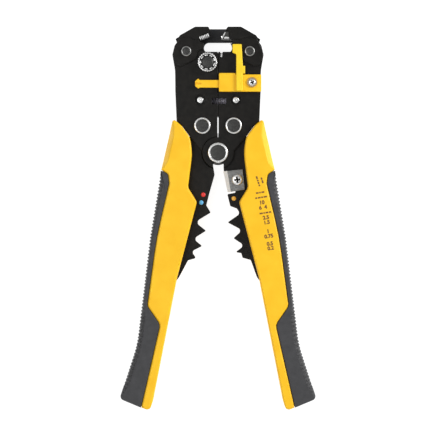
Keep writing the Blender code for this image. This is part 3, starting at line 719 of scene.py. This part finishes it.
def plate_outline(side, top_points, spring_slot, notch=(), stop_slot=()):
    """A head plate's outline, clear of the other half's hub."""
    low, high, end = spring_slot
    inner = [
        (0.15, 10.2), (0.35, 10.6), (0.35, 19.0), (0.15, 19.4), (0.15, low), (end, low),
        (end, high), (0.15, high), (0.15, 54.15), *notch, (6.4, 54.15), (8.9, 54.9, 0.8),
    ]
    edge = HEAD_EDGE_TOP + list(stop_slot) + HEAD_EDGE_LOW
    return on_side(rounded(inner + top_points + edge + arc(0, 0, HUB_ROOM_R, 7, 89, 24)), side)


def neck_and_hub(side, layer):
    """The thinner part of a head plate, lapped over the other half's on the pivot."""
    lower, upper = half_layers(layer)
    own = lower if side < 0 else upper
    neck = [(0.35, 16.5), (14.0, 16.5), (14.7, 8.7, 3.0), (8.2, 1.0)] + round_the_bolt(5, 86)
    rivet = circle(*placed(STOP_RIVET, side), STOP_RIVET_HOLE_R)
    thin = plate("thin", on_side(rounded(neck), side), (own[0] + 0.02, own[1] - 0.02), [rivet], 0.08)
    return thin, hub("hub", own)


def front_plate(side, word):
    shoulder = arc(*JAW_PIVOT, 7.0, 172, 25, 24)
    spring_slot = (26.2, 29.4, 3.2 if side < 0 else 4.4)
    post = placed(SPRING_POST, side)
    holes = [
        circle(*placed(JAW_PIVOT, side), JAW_RIVET_HOLE_R),
        circle(*placed(STOP_RIVET, side), STOP_RIVET_HOLE_R),
    ]
    if side < 0:
        holes.append(circle(*KNOB, 2.06))
        notch, narrow, wide = (), (), ()
    else:
        notch = [(1.2, 54.15), (1.2, 51.2), (2.5, 51.2), (2.5, 54.15)]
        narrow = [(22.96, 39.3), (3.6, 39.3), (3.6, 35.9), (22.93, 35.9)]
        wide = [(22.96, 40.3), (3.6, 40.3), (3.6, 34.9), (22.93, 34.9)]
    floor = (FRONT_PLATE[0], POST_POCKET_FLOOR)
    face = (POST_POCKET_FLOOR, FRONT_PLATE[1])
    lower = plate_outline(side, shoulder, spring_slot, notch, wide)
    upper = plate_outline(side, shoulder, spring_slot, notch, narrow)
    piece = joined(
        f"{word}_front_steel",
        plate("floor", lower, floor, [*holes, circle(*post, 1.26)], 0.03, 1),
        plate("face", upper, face, [*holes, circle(*post, POST_POCKET_R)], 0.25, 3),
        *neck_and_hub(side, FRONT_PLATE),
    )
    stands_for(piece, f"{word}_front_plate", "black_steel")


def back_plate(side, word):
    ear = [(9.0, 58.0, 1.0), (9.0, 62.8, 2.0), (15.0, 64.4, 2.0), (20.4, 61.2, 2.0)]
    holes = [
        circle(*placed(JAW_PIVOT, side), JAW_RIVET_HOLE_R),
        circle(*placed(STOP_RIVET, side), STOP_RIVET_HOLE_R),
        circle(*placed(SPRING_POST, side), 1.26),
    ]
    for screw in COVER_SCREWS:
        place = place_of(f"cover_screw_{screw}")
        if place[0] * side > 0:
            holes.append(circle(*place, 1.26))
    outline = plate_outline(side, ear, (25.4, 31.2, 7.6))
    piece = joined(
        f"{word}_back_steel",
        plate("thick", outline, BACK_PLATE, holes, 0.22),
        *neck_and_hub(side, BACK_PLATE)
    )
    stands_for(piece, f"{word}_back_plate", "black_steel")


def seam_lips():
    """Thin lips on the left half that close the seam between the halves behind the front plates."""
    layer = (BACK_PLATE[1] + 0.05, LEVER[0] - 0.05)
    lips = [
        plate("lip", [(-1.4, low), (0.9, low), (0.9, high), (-1.4, high)], layer, (), 0.04, 1)
        for low, high in ((19.6, 26.1), (29.5, 54.1))
    ]
    beside(joined("seam_lips", *lips), "left_back_plate", "black_steel")


def cover_outline(side):
    lobe = arc(8.6, 15.2, 6.3, -32, -155, 32)
    window = arc(4.75, 57.0, 2.85, -90, 0, 14)
    edge = [(22.0, 58.6, 1.5), (23.4, 52.8, 3.0), (22.0, 44.0, 20.0), (21.8, 33.0), (21.4, 26.4, 2.0)]
    foot = [(0.7, 19.6, 0.5), (0.15, 20.6)]
    if side > 0:
        top = [(7.3, 58.6), (6.7, 59.5), (21.4, 59.5, 0.5)]
        return rounded([(0.15, 54.15)] + window + top + edge[1:] + lobe + foot)
    top = arc(4.75, 57.0, 2.85, 0, 90, 14)[1:]
    bar = [(-20.9, 59.85, 0.5), (-19.6, 62.8, 0.8), (-12.2, 67.2, 1.5), (12.2, 67.2, 1.5), (19.8, 62.6, 0.8)]
    return on_side(rounded([(0.15, 54.15)] + window + top + bar + edge + lobe + foot), side)


def back_cover(side, word):
    shell = plate("shell", cover_outline(side), COVER, (), 0.45, 4)
    tools = []
    for screw in COVER_SCREWS:
        place = place_of(f"cover_screw_{screw}")
        if place[0] * side > 0:
            tools.append(turned("recess", place, [(2.8, -1.0), (2.75, COVER[0] + 0.9)], 48))
            tools.append(turned("bore", place, [(1.26, -1.0), (1.26, COVER[1] + 1.0)], 32))
    bay = rounded([(-1.0, 25.2), (-1.0, 31.4), (12.0, 31.4, 2.8), (12.0, 25.2, 2.8)])
    ridge = rounded([(0.15, 24.1), (0.15, 32.6), (14.0, 32.6, 4.2), (14.0, 24.1, 4.2)])
    ridge_plate = plate("ridge", on_side(ridge, side), (0.02, COVER[0] + 2.0), (), 0.55, 5)
    shell = joined(f"{word}_cover_shell", shell, ridge_plate)
    tools.append(plate("bay", on_side(bay, side), (1.1, COVER[1] + 1), (), 0.01, 0))
    cut(shell, *tools)
    stands_for(shell, f"{word}_back_cover", "dark_plastic")


def rim_and_face(node, head_r, face_r, head_low, rise, rim_finish):
    """A rivet head: a bright raised rim round a darker, slightly sunk face."""
    place = place_of(node)
    low, high = layer_of(node)
    shank_r = 2.0 if head_r < 3 else 2.2
    rim = turned(node + "_rim", place, [
        (shank_r, low), (shank_r, head_low - 0.02), (head_r - 0.15, head_low), (head_r, head_low + 0.15),
        (head_r, high - 0.35), (head_r - 0.12, high - 0.12), (head_r - 0.35, high), (face_r + 0.2, high),
        (face_r + 0.05, high - 0.08), (face_r, high - 0.3), (0.3, high - 0.3),
    ])
    stands_for(rim, node, rim_finish)
    face = turned(node + "_face", place, [
        (face_r - 0.12, high - 0.45), (face_r - 0.06, high - 0.2), (face_r * 0.8, high - 0.12 + rise * 0.3),
        (face_r * 0.5, high - 0.1 + rise * 0.7), (face_r * 0.15, high - 0.1 + rise),
    ])
    beside(face, node, "face_steel")


def pivot():
    low, high = layer_of("pivot_bolt")
    bolt = turned("pivot_bolt_rim", (0, 0), [
        (1.9, low), (2.3, low + 0.3), (2.3, 2.2), (3.0, 2.4), (3.0, 15.08), (5.25, 15.1), (5.4, 15.25),
        (5.4, high - 0.4), (5.28, high - 0.14), (5.0, high), (4.5, high), (4.35, high - 0.08),
        (4.3, high - 0.35), (0.3, high - 0.35),
    ])
    stands_for(bolt, "pivot_bolt", "bright_steel")
    face = turned("pivot_bolt_face", (0, 0), [
        (4.18, high - 0.5), (4.22, high - 0.22), (3.6, high - 0.1), (2.2, high), (0.6, high + 0.05),
    ])
    beside(face, "pivot_bolt", "face_steel")
    low, high = layer_of("pivot_nut")
    hexagon = rounded([(x, y, 0.5) for x, y in circle(0, 0, 5.6, 6)])
    nut = plate("pivot_nut_hex", hexagon, (low, high), [circle(0, 0, HUB_HOLE_R)], 0.35, 3)
    stands_for(nut, "pivot_nut", "bright_steel")
    stud = turned("pivot_stud_end", (0, 0), [(1.2, 0.35), (2.0, 0.4), (2.25, 0.6), (2.25, 1.4)])
    beside(stud, "pivot_bolt", "face_steel")
    low, high = layer_of("pivot_washer")
    profile = [
        (HUB_HOLE_R, low), (6.25, low), (6.4, low + 0.15), (6.4, high - 0.15), (6.25, high),
        (HUB_HOLE_R, high),
    ]
    stands_for(turned_ring("pivot_washer_ring", (0, 0), profile), "pivot_washer", "black_steel")


def rivets():
    for _, word in SIDES:
        rim_and_face(f"{word}_stop_rivet", 4.4, 3.55, 15.1, 0.12, "bright_steel")
        rim_and_face(f"{word}_jaw_rivet", 2.7, 2.1, 16.9, 0.1, "dull_steel")
        node = f"{word}_spring_post"
        low, high = layer_of(node)
        profile = [
            (SPRING_POST_R, low), (SPRING_POST_R, POST_POCKET_FLOOR + 0.06),
            (1.7, POST_POCKET_FLOOR + 0.08), (1.7, high - 0.3), (1.5, high - 0.05), (1.2, high),
            (0.6, high), (0.5, high - 0.25), (0.1, high - 0.3),
        ]
        stands_for(turned(node + "_pin", place_of(node), profile, 40), node, "bright_steel")


# ---------------------------------------------------------------- screws

def cross_recess(place, radius, low, high, turn_deg):
    """Two crossed bars that cut a screw's cross recess."""
    bars = []
    half = radius * 0.17
    for extra in (0, 90):
        angle = math.radians(turn_deg + extra)
        along = Vector((math.cos(angle), math.sin(angle)))
        across = Vector((-along.y, along.x))
        ends = ((-1, -1), (1, -1), (1, 1), (-1, 1))
        corners = [along * a * radius * 0.62 + across * b * half for a, b in ends]
        outline = [(place[0] + c.x, place[1] + c.y) for c in corners]
        bars.append(plate("bar", outline, (low, high), (), 0.02, 0))
    return bars


def cross_painted_shade(node, place, radius, layer, turn_deg):
    """A black cross sunk in the floor of a screw's cross recess: painted shade for the recess."""
    beside(joined(node + "_cross_painted_shade", *cross_recess(place, radius, *layer, turn_deg)), node, "black_steel")


def front_screw(node, head_r, turn_deg):
    """A pan-head screw whose head faces the front."""
    place = place_of(node)
    low, high = layer_of(node)
    shank_r = 1.2
    head = 0.9
    screw = turned(node + "_pan", place, [
        (shank_r * 0.8, low), (shank_r, low + 0.3), (shank_r, high - head),
        (head_r, high - head + 0.05), (head_r, high - head * 0.55), (head_r * 0.93, high - head * 0.3),
        (head_r * 0.75, high - head * 0.1), (head_r * 0.45, high), (0.1, high + 0.02),
    ])
    cut(screw, *cross_recess(place, head_r, high - 0.5, high + 1.0, turn_deg))
    # A black cross in the recess: painted shade.
    cross_painted_shade(node, place, head_r, (high - 0.55, high - 0.25), turn_deg)
    return screw


def cover_screws():
    for index, word in enumerate(COVER_SCREWS):
        node = f"cover_screw_{word}"
        place = place_of(node)
        low, high = layer_of(node)
        turn_deg = 20 + 35 * index
        screw = turned(node + "_pan", place, [
            (0.1, low - 0.02), (0.9, low), (1.6, low + 0.08), (2.0, low + 0.22), (2.1, low + 0.4),
            (2.1, low + 0.5), (1.2, low + 0.52), (1.2, high - 0.3), (0.9, high),
        ])
        cut(screw, *cross_recess(place, 2.1, low - 1.0, low + 0.35, turn_deg))
        # A black cross in the recess: painted shade.
        cross_painted_shade(node, place, 2.1, (low + 0.15, low + 0.38), turn_deg)
        stands_for(screw, node, "bright_steel")


# ---------------------------------------------------------------- jaws

def jaw_nose_outline(side):
    inner = [(4.1, 65.4, 0.5), (4.6, 64.5), (9.9, 62.4), (10.0, 60.6)]
    if side > 0:
        inner = [(3.9, 65.4, 0.5), (5.9, 65.1), (6.4, 60.6), (10.0, 60.6)]
    seat = arc(*JAW_PIVOT, 7.6, 128, 62, 12)
    top = [(12.3, 67.5, 1.2), (5.2, 67.5, 0.6)]
    return on_side(rounded(top + inner + seat + [(21.3, 61.6), (20.4, 62.9)]), side)


def cheek_outline(side):
    corners = [
        (12.3, 66.6), (5.6, 66.6), (5.2, 64.9), (9.6, 63.0), (9.9, 59.6, 0.8), (7.7, 58.8, 0.8),
        (7.7, 55.6, 0.8), (11.0, 54.4, 0.6), (11.4, 50.4, 0.8), (21.2, 45.4, 2.4),
        (24.6, 52.4, 5.0), (21.0, 60.8, 3.0), (20.4, 62.6, 0.4),
    ]
    if side > 0:
        corners[2:4] = [(6.2, 64.9), (6.7, 60.4)]
    return on_side(rounded(corners), side)


def tail_outline(side):
    along = (Vector(DRIVE_PIN) - Vector(JAW_PIVOT)).normalized()
    across = Vector((-along.y, along.x))
    start = Vector(JAW_PIVOT)

    def spot(distance, offset):
        return tuple(start + along * distance + across * offset)

    fork = [
        spot(4.0, 3.9), (*spot(11.2, 3.9), 0.6), (*spot(11.2, 1.85), 0.5), (*spot(6.2, 1.85), 0.9),
        (*spot(6.2, -1.85), 0.9), (*spot(11.2, -1.85), 0.5), (*spot(11.2, -3.9), 0.6), spot(4.0, -3.9),
    ]
    return on_side(rounded(fork + arc(*JAW_PIVOT, 9.0, 178, 50, 24)), side)


def jaw(side, word):
    lower, upper = half_layers(LEVER)
    hole = circle(*placed(JAW_PIVOT, side), JAW_RIVET_HOLE_R)
    nose = plate("nose", jaw_nose_outline(side), (LEVER[0], CHEEK[1]), (), 0.35, 3)
    cheek = plate("cheek", cheek_outline(side), (CHEEK[0], CHEEK[1] - 0.45), [hole], 0.3, 3)
    tail = plate("tail", tail_outline(side), upper if side < 0 else lower, [hole], 0.12)
    stands_for(joined(f"{word}_jaw_steel", nose, cheek, tail), f"{word}_upper_jaw", "black_steel")
    spring_layer = lower if side < 0 else upper
    turns, sides = 4, 24
    count = turns * sides
    low, high = spring_layer[0] + 0.32, spring_layer[1] - 0.32
    ring = arc(*placed(JAW_PIVOT, side), 3.0, 0, 360 * turns, count)
    points = [(x, y, low + (high - low) * i / count) for i, (x, y) in enumerate(ring)]
    stands_for(tube(f"{word}_jaw_coil", points, 0.28), f"{word}_jaw_spring", "spring_steel")


def blade_stack(name, node, outline, count):
    low, high = layer_of(node)
    pitch = (high - low) / count
    blades = [
        plate("blade", outline, (low + i * pitch + 0.06, low + (i + 1) * pitch - 0.06), (), 0.04, 1)
        for i in range(count)
    ]
    stands_for(joined(name, *blades), node, "face_steel")


def jaw_inserts():
    node = "upper_grip_pad"
    low, high = layer_of(node)
    start, stop = Vector((-9.5, 60.5)), Vector((-4.45, 62.55))
    across = Vector((-(stop - start).y, (stop - start).x)).normalized()

    def band(first, last, depth):
        a, b = start.lerp(stop, first), start.lerp(stop, last)
        return [tuple(a), tuple(b), tuple(b + across * depth), tuple(a + across * depth)]

    # The pad's steel is drawn dark under the ribs: painted shade in the gaps between them.
    body = plate("grip_pad_painted_shade_body", band(0.0, 1.0, 1.5), (low, high - 0.35), (), 0.05, 1)
    stands_for(body, node, "face_steel")
    count = 6
    ribs = [
        plate("rib", band((i + 0.1) / count, (i + 0.68) / count, 1.6), (low + 0.1, high), (), 0.08, 1)
        for i in range(count)
    ]
    beside(joined("grip_pad_ribs", *ribs), node, "bright_steel")
    node = "lower_grip_pad"
    outline = [(-0.6, 51.2), (-0.6, 53.6)]
    steps = 10
    for i in range(steps):
        outline += [(-0.6 - 7.0 * (i + 0.25) / steps, 53.9), (-0.6 - 7.0 * (i + 0.75) / steps, 53.6)]
    outline += [(-7.6, 53.6), (-7.6, 51.2)]
    stands_for(plate("lower_pad_ribbed", outline, layer_of(node), (), 0.05, 1), node, "grey_steel")

    node = "upper_stripping_blades"
    upper = [(1.6, 61.2), (2.7, 60.9), (6.1, 60.9), (5.6, 64.8), (3.6, 64.8)]
    blade_stack("upper_blade_stack", node, upper, 8)
    top = layer_of(node)[1]
    # Bright steel marks on the blade stack: the ground edges, drawn as a painted highlight.
    edge = [(1.6, 62.3), (2.05, 61.15), (2.5, 61.15), (4.1, 64.4), (3.6, 64.5), (2.3, 62.1), (2.0, 62.6)]
    tooth = [(3.2, 61.9), (3.5, 61.05), (6.0, 61.0), (5.9, 61.8), (4.6, 62.1)]
    marks = [plate("mark", outline, (top - 0.1, top + 0.12), (), 0.04, 1) for outline in (edge, tooth)]
    beside(joined("blade_edges_painted_highlight", *marks), node, "bright_steel")
    node = "lower_stripping_blades"
    lower = [(0.5, 48.4), (7.4, 48.4), (7.4, 53.9), (2.6, 53.9), (1.9, 53.2), (0.5, 53.2)]
    blade_stack("lower_blade_stack", node, lower, 5)
    top = layer_of(node)[1]
    corners = [(1.35, 51.3), (2.35, 51.3), (2.35, 53.9), (1.35, 53.0)]
    tab = plate("blade_tab", corners, (top, top + 1.6), (), 0.1, 2)
    beside(tab, node, "bright_steel")


def tension_spring():
    turns, sides, coil_r, wire_r = 13, 20, 2.1, 0.4
    half_length, height, hook_height = 6.6, 4.1, 2.8
    post_x, y = SPRING_POST
    count = turns * sides
    coil = []
    for i in range(count + 1):
        angle = 2 * math.pi * i / sides - math.pi / 2
        x = half_length * (2 * i / count - 1)
        coil.append((x, y + coil_r * math.cos(angle), height + coil_r * math.sin(angle)))
    left_hook = [(x, v, hook_height) for x, v in arc(-post_x, y, 1.8, 240, 0, 16)]
    right_hook = [(x, v, hook_height) for x, v in arc(post_x, y, 1.8, 180, -60, 16)]
    spring = tube("tension_coil", left_hook + coil + right_hook, wire_r)
    dress(spring, "spring_steel")
    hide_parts("tension_spring")
    start, end = world(-half_length - 1, y, height), world(half_length + 1, y, height)
    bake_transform(spring)


# ---------------------------------------------------------------- cutter, stop and knob

def cutter():
    node = "cutter_blade"
    low, high = layer_of(node)
    outline = rounded([(4.9, -9.75, 0.2), (13.2, -8.8, 0.4), (14.4, -19.8, 0.4), (6.9, -20.95, 0.2)])
    blade = plate("cutter_blade_plate", outline, (low, high), [circle(*CUTTER_SCREW, 1.56)], 0.15)
    stands_for(blade, node, "grey_steel")
    # The bevel is drawn near-white: a real ground edge, with a painted highlight on it.
    edge = [(2.9, -10.0), (4.95, -9.75), (6.95, -20.95), (5.2, -21.2)]
    bevel = plate("cutter_bevel", closely_spaced(edge, 1.0), (low, high - 0.1), (), 0.04, 1)
    along = (Vector(edge[3]) - Vector(edge[0])).normalized()
    for vertex in bevel.data.vertices:
        x, y = (vertex.co.x - PIVOT[0]) / MM - edge[0][0], (vertex.co.y - PIVOT[1]) / MM - edge[0][1]
        run = x * -along.y + y * along.x
        vertex.co.z = min(vertex.co.z, (low + 0.15 + 0.65 * max(0.0, run)) * MM)
    beside(shade(bevel, 30.0), node, "ground_edge_painted_highlight")
    stands_for(front_screw("cutter_screw", 2.8, 8), "cutter_screw", "bright_steel")


def wire_stop():
    node = "wire_stop"
    low, high = layer_of(node)
    body_corners = [
        (0.5, 32.6, 0.6), (23.2, 32.6, 0.6), (23.2, 41.8, 0.6), (9.4, 41.8), (9.4, 42.6),
        (0.5, 42.6, 0.6),
    ]
    body = rounded(body_corners)
    seat = circle(*STOP_SCREW, 1.3)
    slab = plate("slab", body, (15.1, 17.4), [seat], 0.3, 3)
    tongue = plate("tongue", rounded([
        (1.0, 34.8), (1.0, 38.9), (-9.8, 38.9, 0.3), (-10.6, 39.7, 0.3), (-12.3, 38.3, 0.4),
        (-12.3, 35.6, 0.4), (-10.6, 34.3, 0.3), (-9.8, 34.8, 0.3)]), (15.2, 16.7), (), 0.3, 3)
    neck_corners = [(8.3, 36.1), (20.5, 36.1), (20.5, 39.1), (8.3, 39.1)]
    neck = plate("neck", neck_corners, (12.9, 15.4), [seat], 0.05, 1)
    foot_corners = [(8.2, 35.2), (20.6, 35.2), (20.6, 40.0), (8.2, 40.0)]
    foot = plate("foot", foot_corners, (low, 13.2), [seat], 0.05, 1)
    groove = [(-13.0, 36.5), (-8.8, 36.7), (-8.8, 37.3), (-13.0, 37.5)]
    cut(tongue, plate("groove", groove, (16.0, 18.0), (), 0.01, 0))
    stands_for(joined("wire_stop_slide", slab, tongue, neck, foot), node, "yellow_plastic")
    arm = plate("wire_stop_arm", rounded([
        (9.7, 33.0, 0.4), (13.3, 33.0, 0.4), (13.3, 42.2), (14.5, 42.2, 0.3), (14.5, 46.4, 0.3),
        (13.3, 46.4), (12.6, 58.0, 0.5), (7.7, 58.0, 0.5), (7.7, 53.4, 0.5), (9.7, 52.6, 0.6)]),
        (16.9, high), (), 0.4, 3)
    beside(arm, node, "light_yellow")
    stands_for(front_screw("stop_screw", 1.95, 25), "stop_screw", "bright_steel")
    rim_low = layer_of("stop_screw")[1] - 0.85
    rim = [
        (1.9, rim_low), (2.75, rim_low), (2.75, rim_low + 0.3), (2.6, rim_low + 0.5),
        (2.0, rim_low + 0.5),
    ]
    beside(turned_ring("stop_screw_rim", STOP_SCREW, rim), "stop_screw", "brass")


def adjuster():
    node = "adjuster_dial"
    low, high = layer_of(node)
    teeth, outer_r, root_r = 26, 5.2, 4.85
    outline = []
    for i in range(teeth):
        for share, radius in ((0.0, root_r), (0.25, outer_r), (0.6, outer_r), (0.85, root_r)):
            angle = 2 * math.pi * (i + share) / teeth
            outline.append((KNOB[0] + radius * math.cos(angle), KNOB[1] + radius * math.sin(angle)))
    ring = plate("dial_ring", outline, (low, high), [circle(*KNOB, 4.4)], 0.15)
    stands_for(ring, node, "bright_steel")
    # A black floor inside the silver ring, seen between the raised marks: painted shade for the notches.
    floor = plate("dial_floor_painted_shade", circle(*KNOB, 4.45), (low, high - 0.7), [circle(*KNOB, 2.1)], 0.1)
    beside(floor, node, "black_steel")
    notches = 9
    blocks = []
    for i in range(notches):
        a, b = 360 * (i + 0.2) / notches, 360 * (i + 0.8) / notches
        outline = arc(*KNOB, 4.1, a, b, 8) + arc(*KNOB, 3.45, b, a, 8)
        blocks.append(plate("block", outline, (high - 0.9, high - 0.1), (), 0.1, 2))
    beside(joined("dial_marks", *blocks), node, "bright_steel")
    low, high = layer_of("adjuster_cap")
    cap = turned("dial_cap", KNOB, [
        (2.0, low), (2.0, 16.85), (3.1, 16.9), (3.2, 17.1), (3.2, high - 0.35), (3.0, high - 0.1),
        (2.4, high + 0.1), (1.4, high + 0.22), (0.2, high + 0.26),
    ])
    stands_for(cap, "adjuster_cap", "face_steel")


def printed(text, x, y, size, turn_deg):
    """Printed numerals on the sleeve's front."""
    curve = bpy.data.curves.new("mark", "FONT")
    curve.body = text
    curve.size = size * MM
    curve.align_x = "CENTER"
    curve.offset = 0.12 * MM
    curve.extrude = 0.03 * MM
    source = bpy.data.objects.new("mark", curve)
    source.location = world(x, y, SLEEVE[1] + 0.02)
    source.rotation_euler.z = math.radians(turn_deg)
    made = bpy.data.objects.new("mark", mesh_of_curve(source))
    bpy.context.scene.collection.objects.link(made)
    return made


def bars(x, y, lengths, turn_deg):
    """A row of short printed bars."""
    angle = math.radians(turn_deg)
    along, across = Vector((math.cos(angle), math.sin(angle))), Vector((-math.sin(angle), math.cos(angle)))
    gap, height = 0.35, 0.8
    start = -(sum(lengths) + gap * (len(lengths) - 1)) / 2
    row = []
    for length in lengths:
        corners = ((start, 0), (start + length, 0), (start + length, height), (start, height))
        outline = [tuple(Vector((x, y)) + along * u + across * v) for u, v in corners]
        row.append(plate("bar", outline, (SLEEVE[1] - 0.02, SLEEVE[1] + 0.05), (), 0.01, 0))
        start += length + gap
    return row


def size_marks():
    """A generic scale down the right sleeve: bars, and plain wire sizes in square millimetres."""
    tilt = 9
    pieces = bars(21.0, -15.5, (1.6, 0.8, 1.2, 0.9), -72) + bars(23.2, -15.0, (1.2, 1.6), -72)
    pieces += bars(22.6, -21.8, (1.4, 0.8, 1.6), tilt) + bars(23.1, -24.4, (1.0, 1.5, 0.9, 1.8), tilt)
    pieces += bars(25.4, -32.6, (1.7, 0.8, 1.5, 1.2), tilt)
    pieces += [
        printed("10", 23.6, -27.6, 2.75, tilt), printed("6  4", 24.2, -30.2, 2.75, tilt),
        printed("2.5", 25.8, -35.6, 2.75, tilt), printed("1.5", 26.2, -38.2, 2.75, tilt),
        printed("1", 26.9, -43.0, 2.75, tilt), printed("0.75", 27.3, -45.6, 2.75, tilt),
        printed("0.5", 27.9, -49.6, 2.75, tilt), printed("0.2", 28.3, -52.0, 2.75, tilt),
    ]
    beside(joined("size_marks", *pieces), "right_handle_sleeve", "ink")


# ---------------------------------------------------------------- stage

def stage():
    centre = (CAD_BOUNDS[0] + CAD_BOUNDS[1]) / 2
    floor_finish = Finish(
        "white_lightbox", (0.32, 0.32, 0.32), 0.85,
        Emission_Color=(1.0, 1.0, 1.0, 1.0), Emission_Strength=0.9,
    )
    floor_finish.vary_roughness(0.8, 0.9, 0.02)
    bpy.ops.mesh.primitive_plane_add(size=6.0, location=(centre.x, centre.y, CAD_BOUNDS[0].z - 0.0002))
    floor = bpy.context.object
    floor.name = "table"
    floor.data.materials.append(floor_finish.material)

    background = bpy.data.worlds.new("studio")
    background.use_nodes = True
    background.node_tree.nodes["Background"].inputs["Color"].default_value = (1.0, 1.0, 1.0, 1.0)
    background.node_tree.nodes["Background"].inputs["Strength"].default_value = 0.42
    bpy.context.scene.world = background
    lamps = (
        ("key", (0.75, 0.3, 0.45), 0.35, 6.0),
        ("fill", (-0.40, 0.04, 0.85), 0.5, 2.3),
        ("back", (0.1, -0.7, 0.7), 0.7, 1.2),
    )
    for name, offset, size, power in lamps:
        light = bpy.data.lights.new(name, "AREA")
        light.size = size
        light.energy = power
        lamp = bpy.data.objects.new(name, light)
        lamp.location = centre + Vector(offset)
        lamp.rotation_euler = (-Vector(offset)).to_track_quat("-Z", "Y").to_euler()
        bpy.context.scene.collection.objects.link(lamp)

    camera = bpy.data.cameras.new("camera")
    camera.sensor_width = 36.0
    camera.lens = 185.0
    viewer = bpy.data.objects.new("camera", camera)
    frame_height = (CAD_BOUNDS[1].y - CAD_BOUNDS[0].y) / 0.88
    distance = frame_height * camera.lens / camera.sensor_width
    viewer.location = (centre.x, centre.y, CAD_BOUNDS[1].z + distance)
    bpy.context.scene.collection.objects.link(viewer)
    bpy.context.scene.camera = viewer
    bpy.context.scene.view_settings.view_transform = "Standard"


def main():
    for side, word in SIDES:
        sleeve(side, word)
        grip(side, word)
        parting_shade_strip(side, word)
        lever(side, word)
        front_plate(side, word)
        back_plate(side, word)
        back_cover(side, word)
        jaw(side, word)
    seam_lips()
    pivot()
    rivets()
    size_dots()
    cover_screws()
    jaw_inserts()
    tension_spring()
    cutter()
    wire_stop()
    adjuster()
    size_marks()
    stage()


main()
